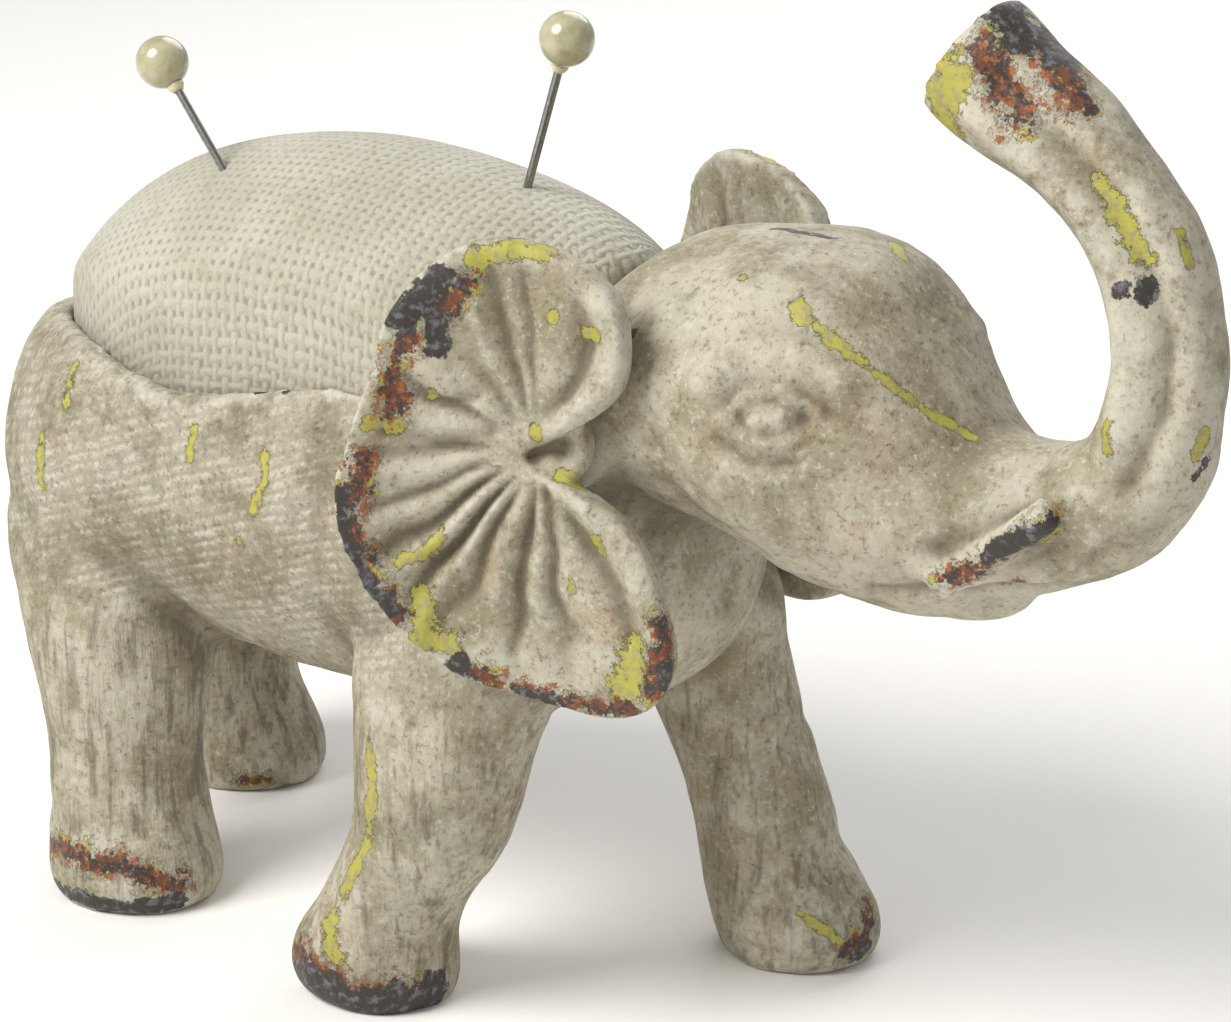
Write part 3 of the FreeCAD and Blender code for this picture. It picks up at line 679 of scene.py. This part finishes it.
def spun(name, profile, low, way):
    # a profile of radius and distance in mm, spun about the pin's own line
    across = way.orthogonal().normalized()
    form = bmesh.new()
    spots = [form.verts.new(low + (across * radius + way * distance) * mm) for radius, distance in profile]
    edges = [form.edges.new(pair) for pair in zip(spots, spots[1:])]
    bmesh.ops.spin(form, geom=spots + edges, cent=low, axis=way, angle=math.tau, steps=pin["sides"],
                   use_merge=True)
    bmesh.ops.remove_doubles(form, verts=form.verts, dist=0.002 * mm)
    bmesh.ops.recalc_face_normals(form, faces=form.faces)
    for face in form.faces:
        face.smooth = True
    return finishPiece(name, form)


def arc(middle, radius, start, end, steps):
    # a profile's points on part of a circle round a distance along the line, in degrees from the point's side
    points = []
    for step in range(steps + 1):
        angle = math.radians(start + (end - start) * step / steps)
        points.append((radius * math.sin(angle), middle - radius * math.cos(angle)))
    return points


def makePin(name, body, joint):
    way = Vector(joint["axis"]).normalized()
    low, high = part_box(body + "_pearl")
    pearlLow = (low + high) / 2 - way * pin["pearlRadius"] * mm
    tip = pearlLow - way * pin["length"] * mm
    edge = math.degrees(math.asin(pin["mouthRadius"] / pin["pearlRadius"]))
    ball = arc(pin["pearlRadius"], pin["pearlRadius"], edge, 180, pin["pearlSteps"])
    bore, deepest = pin["shankRadius"] + pin["boreGap"], pin["boreDepth"]
    mouth = [(0, deepest), (bore, deepest), (bore, pin["boreLip"]), (pin["lipRadius"], pin["lipDepth"])]
    pearl = spun(name + "Pearl", mouth + ball, pearlLow, way)
    radius, length, point = pin["shankRadius"], pin["length"], pin["pointLength"]
    shank = spun(name + "Shank", [
        (0, 0), (pin["pointRadius"], 0.03), (radius * 0.5, point * 0.42), (radius * 0.86, point * 0.8),
        (radius, point), (radius, point + 0.5), (radius, length * 0.5), (radius, length),
        (radius, length + pin["inPearl"]), (0, length + pin["inPearl"]),
    ], tip, way)
    wide, deep, step = pin["collarRadius"], pin["collarLength"], pin["collarStep"]
    bead = spun(name + "Collar", [
        (radius, -deep), (radius + step, -deep * 0.97), (wide * 0.78, -deep * 0.72), (wide, -deep * 0.3),
        (wide * 0.98, -0.02), (wide * 0.9, step), (radius, step), (radius, -deep * 0.5), (radius, -deep),
    ], pearlLow, way)
    for piece, part, slot in ((pearl, "pearl", "pearl_coating"), (shank, "shank", "pin_steel"),
                              (bead, "collar", "pin_glue")):
        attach(piece, body)
        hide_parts(f"{body}_{part}")
    return pearl, shank, bead


def toLinear(colour):
    parts = [int(colour[i:i + 2], 16) / 255 for i in (1, 3, 5)]
    return tuple(part / 12.92 if part <= 0.04045 else ((part + 0.055) / 1.055) ** 2.4
                 for part in parts) + (1,)


def perMetre(size):
    # a texture's scale for features of this many millimetres
    return 1 / (size * mm)


def liveOutput(node):
    return next(output for output in node.outputs if output.enabled)


def addNode(tree, kind, settings=None, **inputs):
    # inputs go by name, or by place as i0, i1 and so on; a node given as a value is linked by its live output
    node = tree.nodes.new(kind)
    for name, value in (settings or {}).items():
        setattr(node, name, value)
    for name, value in inputs.items():
        socket = node.inputs[int(name[1:]) if name[1:].isdigit() else name.replace("_", " ")]
        if isinstance(value, bpy.types.Node):
            value = liveOutput(value)
        if isinstance(value, bpy.types.NodeSocket):
            tree.links.new(value, socket)
        else:
            socket.default_value = value
    return node


def newMaterial(name, **constants):
    material = bpy.data.materials.new(name)
    material.use_nodes = True
    tree = material.node_tree
    tree.nodes.clear()
    shader = addNode(tree, "ShaderNodeBsdfPrincipled", **constants)
    addNode(tree, "ShaderNodeOutputMaterial", Surface=shader)
    return material, tree, shader


mixing = {"data_type": "RGBA"}
smooth = {"interpolation_type": "SMOOTHSTEP"}
adding = {"operation": "ADD"}
taking = {"operation": "SUBTRACT"}
timing = {"operation": "MULTIPLY"}
timingAndAdding = {"operation": "MULTIPLY_ADD"}
larger = {"operation": "MAXIMUM"}
turning = {"operation": "COSINE"}


# the wash colour also serves as painted shade in hollows and grooves, and the chalk colour as a painted
# highlight on ridges
paint = {
    "cream": "#B3AD99",
    "khaki": "#8C846B",
    "ashGreen": "#8A8F79",
    "blush": "#9E8668",
    "washAndShade": "#554B37",
    "chalkAndHighlight": "#C6C2B3",
    "lemon": "#A7A144",
    "outline": "#45401F",
    "rust": "#6A3A22",
    "orange": "#9E5E2E",
    "charcoal": "#332C27",
    "slate": "#767D80",
}
# each noise's size in mm, detail and roughness
paintNoises = {
    "clouds": (11.0, 6.0, 0.65),
    "mottle": (2.4, 7.0, 0.74),
    "grain": (0.75, 3.0, 0.7),
    "tints": (8.0, 3.0, 0.6),
    "ragged": (2.9, 8.0, 0.78),
    "flakes": (1.0, 3.0, 0.6),
}
# thin coats in order: the pattern, where it starts and is full, the most of it that covers, and its colour
paintCoats = [
    ("tints", 0.56, 0.74, 0.5, "ashGreen"),
    ("tints", 0.44, 0.28, 0.45, "blush"),
    ("mottle", 0.52, 0.72, 0.4, "washAndShade"),
    ("mottle", 0.47, 0.3, 0.5, "chalkAndHighlight"),
    ("grain", 0.54, 0.68, 0.55, "washAndShade"),
    ("grain", 0.44, 0.3, 0.55, "chalkAndHighlight"),
    ("legStreaks", 0.48, 0.66, 0.6, "washAndShade"),
]
# relief in mm: pitted paint, cloth-like rows, streaks down the legs, and chips a fifth of a millimetre deep
paintRelief = {"mottle": 0.22, "grain": 0.09, "cloth": 0.13, "legStreaks": 0.34, "bare": -0.2}
paintWear = {"ragged": 2.5, "darkRagged": 0.8, "dull": 0.72, "worn": 0.5}
castRows = {"slant": 20, "rowPitch": 1.25, "columnPitch": 1.15, "streakSize": 1.3, "streakStretch": 0.12}


def distressedPaint():
    # chalk paint over cast resin, rubbed back: dull and mottled, with lemon, rust and black coats at the
    # wear; painted shade darkens its hollows and a painted highlight lightens its ridges
    material, tree, shader = newMaterial("distressedChalkPaint")
    colours = {name: toLinear(value) for name, value in paint.items()}
    spots = addNode(tree, "ShaderNodeTexCoord").outputs["Object"]
    shares = {}
    for layer, names in (("wear", ("yellow", "rust", "dark")), ("relief", ("cavity", "ridge")),
                         ("marks", ("flank", "legs"))):
        colour = addNode(tree, "ShaderNodeVertexColor", {"layer_name": layer})
        split = addNode(tree, "ShaderNodeSeparateColor", Color=colour)
        shares.update(zip(names, split.outputs))
    for name, (size, detail, roughness) in paintNoises.items():
        shares[name] = addNode(tree, "ShaderNodeTexNoise", Vector=spots, Scale=perMetre(size), Detail=detail,
                               Roughness=roughness)

    # streaks run down the legs; rows slant up along the flanks as if cast from cloth
    upright = addNode(tree, "ShaderNodeMapping", Vector=spots, Scale=(1, 1, castRows["streakStretch"]))
    streaks = addNode(tree, "ShaderNodeTexNoise", Vector=upright, Scale=perMetre(castRows["streakSize"]),
                      Detail=4.0, Roughness=0.6)
    shares["legStreaks"] = addNode(tree, "ShaderNodeMath", timing, i0=streaks, i1=shares["legs"])
    slanted = addNode(tree, "ShaderNodeMapping", Vector=spots,
                      Rotation=(0, math.radians(castRows["slant"]), 0))
    rows, columns = (
        addNode(tree, "ShaderNodeTexWave", {"bands_direction": way}, Vector=slanted, Detail=3.0,
                Detail_Scale=0.7, Scale=math.pi / 10 * perMetre(castRows[pitch]),
                Distortion=distortion).outputs["Fac"]
        for way, pitch, distortion in (("Z", "rowPitch", 3.2), ("X", "columnPitch", 4.0)))
    crossed = addNode(tree, "ShaderNodeMath", adding, i0=columns, i1=0.5)
    woven = addNode(tree, "ShaderNodeMath", timing, i0=rows, i1=crossed)
    patchy = addNode(tree, "ShaderNodeMapRange", smooth, Value=shares["mottle"], From_Min=0.62, From_Max=0.4)
    patched = addNode(tree, "ShaderNodeMath", timing, i0=woven, i1=patchy)
    shares["cloth"] = addNode(tree, "ShaderNodeMath", timing, i0=patched, i1=shares["flank"])

    clouded = addNode(tree, "ShaderNodeMapRange", smooth, Value=shares["clouds"], From_Min=0.38, From_Max=0.6)
    base = addNode(tree, "ShaderNodeMix", mixing, i0=clouded, i6=colours["khaki"], i7=colours["cream"])
    for pattern, start, full, most, colour in paintCoats:
        amount = addNode(tree, "ShaderNodeMapRange", smooth, Value=shares[pattern], From_Min=start,
                         From_Max=full, To_Max=most)
        base = addNode(tree, "ShaderNodeMix", mixing, i0=amount, i6=base, i7=colours[colour])
    # painted shade: the grooves between the cloth-like rows on the flanks are darkened
    hollow = addNode(tree, "ShaderNodeMapRange", smooth, Value=shares["cloth"], From_Min=0.45, From_Max=0.1,
                     To_Max=0.34)
    # painted highlight: the mottle breaks up the pale highlight painted on the ridges
    rubbedAndHighlit = addNode(tree, "ShaderNodeMapRange", smooth, Value=shares["mottle"], From_Min=0.62, From_Max=0.42,
                     To_Max=0.85)
    # painted shade in the cloth rows' grooves and in the hollows, and a painted highlight on the ridges
    for first, second, colour in ((hollow, shares["flank"], "washAndShade"), (shares["cavity"], 0.8, "washAndShade"),
                                  (shares["ridge"], rubbedAndHighlit, "chalkAndHighlight")):
        amount = addNode(tree, "ShaderNodeMath", timing, i0=first, i1=second)
        base = addNode(tree, "ShaderNodeMix", mixing, i0=amount, i6=base, i7=colours[colour])

    # each coat's edge is broken up by the ragged noise
    centred = addNode(tree, "ShaderNodeMath", taking, i0=shares["ragged"], i1=0.5)
    jitter = addNode(tree, "ShaderNodeMath", timing, i0=centred, i1=paintWear["ragged"])
    lemonAmount = addNode(tree, "ShaderNodeMath", adding, i0=shares["yellow"], i1=jitter)
    lemonEdge = addNode(tree, "ShaderNodeMapRange", smooth, Value=lemonAmount, From_Min=0.50, From_Max=0.55)
    lemonShare = addNode(tree, "ShaderNodeMapRange", smooth, Value=lemonAmount, From_Min=0.56, From_Max=0.60)
    outline = addNode(tree, "ShaderNodeMath", timing, i0=lemonEdge, i1=0.75)
    base = addNode(tree, "ShaderNodeMix", mixing, i0=outline, i6=base, i7=colours["outline"])
    rubbedAndHighlit = addNode(tree, "ShaderNodeMapRange", smooth, Value=shares["flakes"], From_Min=0.48, From_Max=0.64,
                     To_Max=0.7)
    lemon = addNode(tree, "ShaderNodeMix", mixing, i0=rubbedAndHighlit, i6=colours["lemon"], i7=colours["khaki"])
    base = addNode(tree, "ShaderNodeMix", mixing, i0=lemonShare, i6=base, i7=lemon)

    # rust turns from orange and lemon specks at its border to brown with charred flakes
    rustAmount = addNode(tree, "ShaderNodeMath", adding, i0=shares["rust"], i1=jitter)
    rustShare = addNode(tree, "ShaderNodeMapRange", smooth, Value=rustAmount, From_Min=0.52, From_Max=0.57)
    charred = addNode(tree, "ShaderNodeMapRange", smooth, Value=shares["flakes"], From_Min=0.42,
                      From_Max=0.54)
    rusty = addNode(tree, "ShaderNodeMix", mixing, i0=charred, i6=colours["rust"], i7=colours["charcoal"])
    bright = addNode(tree, "ShaderNodeMapRange", smooth, Value=shares["grain"], From_Min=0.56, From_Max=0.64,
                     To_Max=0.8)
    rusty = addNode(tree, "ShaderNodeMix", mixing, i0=bright, i6=rusty, i7=colours["orange"])
    sorts = addNode(tree, "ShaderNodeMapRange", smooth, Value=shares["tints"], From_Min=0.47, From_Max=0.5)
    fringe = addNode(tree, "ShaderNodeMix", mixing, i0=sorts, i6=colours["orange"], i7=colours["lemon"])
    gaps = addNode(tree, "ShaderNodeMapRange", smooth, Value=shares["flakes"], From_Min=0.44, From_Max=0.5)
    fringe = addNode(tree, "ShaderNodeMix", mixing, i0=gaps, i6=fringe, i7=base)
    inside = addNode(tree, "ShaderNodeMapRange", smooth, Value=rustAmount, From_Min=0.62, From_Max=0.8)
    rusty = addNode(tree, "ShaderNodeMix", mixing, i0=inside, i6=fringe, i7=rusty)
    base = addNode(tree, "ShaderNodeMix", mixing, i0=rustShare, i6=base, i7=rusty)

    darkJitter = addNode(tree, "ShaderNodeMath", timing, i0=jitter, i1=paintWear["darkRagged"])
    darkAmount = addNode(tree, "ShaderNodeMath", adding, i0=shares["dark"], i1=darkJitter)
    darkShare = addNode(tree, "ShaderNodeMapRange", smooth, Value=darkAmount, From_Min=0.52, From_Max=0.58)
    # painted sheen: bluish-grey patches mixed into the black coat stand in for its sheen
    paintedSheen = addNode(tree, "ShaderNodeMapRange", smooth, Value=shares["flakes"], From_Min=0.5, From_Max=0.66,
                    To_Max=0.6)
    black = addNode(tree, "ShaderNodeMix", mixing, i0=paintedSheen, i6=colours["charcoal"], i7=colours["slate"])
    base = addNode(tree, "ShaderNodeMix", mixing, i0=darkShare, i6=base, i7=black)

    bare = addNode(tree, "ShaderNodeMath", larger, i0=lemonShare, i1=rustShare)
    shares["bare"] = addNode(tree, "ShaderNodeMath", larger, i0=bare, i1=darkShare)
    roughness = addNode(tree, "ShaderNodeMapRange", Value=shares["bare"], To_Min=paintWear["dull"],
                        To_Max=paintWear["worn"])
    height = 0.0
    for pattern, depth in paintRelief.items():
        height = addNode(tree, "ShaderNodeMath", timingAndAdding, i0=shares[pattern], i1=depth, i2=height)
    bump = addNode(tree, "ShaderNodeBump", Height=height, Strength=1.0, Distance=mm)
    for socket, node in (("Base Color", base), ("Roughness", roughness), ("Normal", bump)):
        tree.links.new(liveOutput(node), shader.inputs[socket])
    return material


# the darkest colour is painted shade, for the holes between yarns, the creases and the rim
linen = {"yarn": "#B2AF9E", "shade": "#9C9882", "hole": "#6E654F", "fleck": "#887E60"}
# the pitch of the yarns, how far they stray, and each noise's size, all in mm, then relief in mm
weaving = {"pitch": 1.4, "stray": 1.6, "strayPer": 0.16, "slubs": 2.2, "fibres": 0.35, "clouds": 14.0,
           "yarnRelief": 0.16, "fibreRelief": 0.08, "slubRelief": 0.2, "over": 0.45, "blend": 0.2,
           "uneven": 1.1}


def wovenLinen():
    # plain-woven oatmeal linen: round slubby yarns, with painted shade in a small hole between each four
    material, tree, shader = newMaterial("wovenOatmealLinen", Roughness=0.92, Sheen_Weight=0.25,
                                         Sheen_Roughness=0.6)
    colours = {name: toLinear(value) for name, value in linen.items()}
    cloth = addNode(tree, "ShaderNodeAttribute", {"attribute_name": "cloth"}).outputs["Vector"]
    spots = addNode(tree, "ShaderNodeTexCoord").outputs["Object"]
    relief = addNode(tree, "ShaderNodeVertexColor", {"layer_name": "relief"})
    cavity, rim, _ = addNode(tree, "ShaderNodeSeparateColor", Color=relief).outputs
    sway = addNode(tree, "ShaderNodeTexNoise", Vector=cloth, Scale=weaving["strayPer"], Detail=2.0)
    sway = addNode(tree, "ShaderNodeVectorMath", {"operation": "SCALE"}, i0=sway.outputs["Color"],
                   Scale=weaving["stray"])
    moved = addNode(tree, "ShaderNodeVectorMath", adding, i0=cloth, i1=sway)
    along, across, _ = addNode(tree, "ShaderNodeSeparateXYZ", Vector=moved).outputs
    turns = math.tau / weaving["pitch"]

    # a yarn passes over and under its neighbours, so its height is a wave whose phase flips from yarn to yarn
    yarns = []
    for own, other, joined in ((along, across, adding), (across, along, taking)):
        waves = []
        for position, rate in ((own, turns), (other, turns / 2), (own, turns / 2)):
            angle = addNode(tree, "ShaderNodeMath", timing, i0=position, i1=rate)
            waves.append(addNode(tree, "ShaderNodeMath", turning, i0=angle))
        crown, over, phase = waves
        crossing = addNode(tree, "ShaderNodeMath", timing, i0=over, i1=phase)
        lifted = addNode(tree, "ShaderNodeMath", timing, i0=crossing, i1=weaving["over"])
        rounded = addNode(tree, "ShaderNodeMath", timing, i0=crown, i1=0.5)
        yarns.append(addNode(tree, "ShaderNodeMath", joined, i0=rounded, i1=lifted))
    weave = addNode(tree, "ShaderNodeMath", {"operation": "SMOOTH_MAX"}, i0=yarns[0], i1=yarns[1],
                    i2=weaving["blend"])

    slubs, fibres, clouds = (
        addNode(tree, "ShaderNodeTexNoise", Vector=spots, Scale=perMetre(weaving[name]), Detail=detail,
                Roughness=roughness)
        for name, detail, roughness in (("slubs", 4.0, 0.6), ("fibres", 2.0, 0.7), ("clouds", 3.0, 0.6)))
    centred = addNode(tree, "ShaderNodeMath", taking, i0=slubs, i1=0.5)
    uneven = addNode(tree, "ShaderNodeMath", timingAndAdding, i0=centred, i1=weaving["uneven"], i2=weave)
    # painted shade: the gaps between the yarns are coloured dark as if shaded
    hole = addNode(tree, "ShaderNodeMapRange", smooth, Value=uneven, From_Min=0.02, From_Max=-0.5)
    clouded = addNode(tree, "ShaderNodeMapRange", smooth, Value=clouds, From_Min=0.35, From_Max=0.65,
                      To_Max=0.6)
    base = addNode(tree, "ShaderNodeMix", mixing, i0=clouded, i6=colours["yarn"], i7=colours["shade"])
    for pattern, start, full in ((slubs, 0.55, 0.7), (fibres, 0.5, 0.72)):
        amount = addNode(tree, "ShaderNodeMapRange", smooth, Value=pattern, From_Min=start, From_Max=full,
                         To_Max=0.4)
        base = addNode(tree, "ShaderNodeMix", mixing, i0=amount, i6=base, i7=colours["fleck"])
    # painted shade: the holes between yarns, the band by the rim and the creases take the dark colour
    for pattern, most in ((hole, 0.6), (rim, 0.3), (cavity, 0.4)):
        amount = addNode(tree, "ShaderNodeMath", timing, i0=pattern, i1=most)
        base = addNode(tree, "ShaderNodeMix", mixing, i0=amount, i6=base, i7=colours["hole"])
    height = 0.0
    for pattern, depth in ((weave, "yarnRelief"), (fibres, "fibreRelief"), (slubs, "slubRelief")):
        height = addNode(tree, "ShaderNodeMath", timingAndAdding, i0=pattern, i1=weaving[depth], i2=height)
    bump = addNode(tree, "ShaderNodeBump", Height=height, Strength=1.0, Distance=mm)
    tree.links.new(liveOutput(base), shader.inputs["Base Color"])
    tree.links.new(liveOutput(bump), shader.inputs["Normal"])
    return material


def speckled(name, first, second, size, relief, stretch=(1, 1, 1), **constants):
    # two close tones in a noise of the given size in mm, which also gives the relief in mm
    material, tree, shader = newMaterial(name, **constants)
    spots = addNode(tree, "ShaderNodeTexCoord").outputs["Object"]
    spots = addNode(tree, "ShaderNodeMapping", Vector=spots, Scale=stretch)
    pattern = addNode(tree, "ShaderNodeTexNoise", Vector=spots, Scale=perMetre(size), Detail=5.0,
                      Roughness=0.65)
    amount = addNode(tree, "ShaderNodeMapRange", smooth, Value=pattern, From_Min=0.35, From_Max=0.65)
    base = addNode(tree, "ShaderNodeMix", mixing, i0=amount, i6=toLinear(first), i7=toLinear(second))
    height = addNode(tree, "ShaderNodeMath", timing, i0=pattern, i1=relief)
    bump = addNode(tree, "ShaderNodeBump", Height=height, Strength=1.0, Distance=mm)
    tree.links.new(liveOutput(base), shader.inputs["Base Color"])
    tree.links.new(liveOutput(bump), shader.inputs["Normal"])
    return material


def pearlLacquer():
    # fish-scale lacquer on a moulded bead: ivory under a clear gloss, warmer and greener in soft patches
    return speckled("pearlLacquer", "#B3AE90", "#9B9670", 2.6, 0.02, Roughness=0.24, Coat_Weight=0.6,
                    Coat_Roughness=0.08, Subsurface_Weight=0.12, Subsurface_Radius=(0.0012, 0.001, 0.0007))


def nickelledSteel():
    # drawn wire, nickel plated: a dark bright line with faint draw marks along it
    return speckled("nickelPlatedSteel", "#9A9A98", "#7E7D7A", 0.3, 0.01, Roughness=0.28, Metallic=1.0)


def clearHotGlue():
    # hot-melt glue set in a bead: amber and cloudy, with light passing a little way in
    return speckled("clearHotGlue", "#D9CDAE", "#C8B994", 1.2, 0.03, Roughness=0.3, Subsurface_Weight=0.2,
                    Subsurface_Radius=(0.001, 0.0008, 0.0005))


def dress(piece, material):
    piece.data.materials.clear()
    piece.data.materials.append(material)


paintMaterial = distressedPaint()
elephant = makeCasting()
dress(elephant, paintMaterial)
print("casting:", len(elephant.data.polygons), "faces")

for side, ear in ears.items():
    piece = makeEar(side, ear)
    dress(piece, paintMaterial)
    print(side, "ear:", len(piece.data.polygons), "faces")

pad = makeCushion()
dress(pad, wovenLinen())
print("cushion:", len(pad.data.polygons), "faces")

pearlMaterial = pearlLacquer()
steelMaterial = nickelledSteel()
glueMaterial = clearHotGlue()
for joint in frame["record"]["behaviour"]["joints"]:
    body = joint["child"]
    name = {"rear_pin": "rearPin", "front_pin": "frontPin"}[body]
    for piece, material in zip(makePin(name, body, joint), (pearlMaterial, steelMaterial, glueMaterial)):
        dress(piece, material)
print("pins: 2")

innerMaterials = {
    "cushion_board": speckled("greyBoard", "#A59C8B", "#8C8373", 0.8, 0.05, (1, 1, 3), Roughness=0.9),
    "cushion_filling": speckled("polyesterWadding", "#EDEBE4", "#D8D5CB", 1.4, 0.3, Roughness=0.97),
    "gathering_thread": speckled("cottonThread", "#D8CDB8", "#B7A98E", 0.3, 0.06, Roughness=0.9),
    "glue_beads": glueMaterial,
}
for node, material in innerMaterials.items():
    mesh = frame["nodes"][node].data
    if mesh.materials:
        frame["nodes"][node].material_slots[0].link = "OBJECT"
        frame["nodes"][node].material_slots[0].material = material
    else:
        mesh.materials.append(material)
print("inner pieces:", len(innerMaterials))


studio = {
    "camera": (282.23, -305.31, 189.04),
    "aim": (35.0, 0.0, 55.3),
    "sensor": 36.0,
    "lens": 111.13,
    "floorHalf": 3.0,
    "floorColour": "#F2F0EC",
    "skyColour": "#F4F4F6",
    "skyStrength": 0.46,
}
# each lamp's place, width in metres, watts and colour
lamps = {
    "key": ((-180, -520, 620), 0.5, 7.4, (1.0, 0.985, 0.96)),
    "fill": ((620, -260, 300), 0.6, 0.45, (0.97, 0.985, 1.0)),
    "back": ((-160, 560, 520), 0.6, 2.4, (1.0, 1.0, 1.0)),
}


def areaLight(name, spot, aim, size, watts, colour):
    data = bpy.data.lights.new(name, "AREA")
    data.shape = "DISK"
    data.size = size
    data.energy = watts
    data.color = colour
    lamp = bpy.data.objects.new(name, data)
    lamp.location = spot
    lamp.rotation_euler = (aim - spot).to_track_quat("-Z", "Y").to_euler()
    scene.collection.objects.link(lamp)


def makeStudio():
    form = bmesh.new()
    bmesh.ops.create_grid(form, x_segments=4, y_segments=4, size=studio["floorHalf"])
    floor = finishPiece("studioFloor", form)
    material, _, _ = newMaterial("mattWhitePaint", Base_Color=toLinear(studio["floorColour"]), Roughness=0.85)
    floor.data.materials.append(material)

    world = bpy.data.worlds.new("softSky")
    scene.world = world
    world.use_nodes = True
    sky = world.node_tree.nodes["Background"]
    sky.inputs["Color"].default_value = toLinear(studio["skyColour"])
    sky.inputs["Strength"].default_value = studio["skyStrength"]

    aim = place(*studio["aim"])
    for name, (spot, size, watts, colour) in lamps.items():
        areaLight(name, place(*spot), aim, size, watts, colour)

    data = bpy.data.cameras.new("camera")
    data.sensor_width = studio["sensor"]
    data.lens = studio["lens"]
    data.clip_start = 0.01
    camera = bpy.data.objects.new("camera", data)
    camera.location = place(*studio["camera"])
    camera.rotation_euler = (aim - camera.location).to_track_quat("-Z", "Y").to_euler()
    scene.collection.objects.link(camera)
    scene.camera = camera


makeStudio()
print("studio: floor, three lights and a camera")
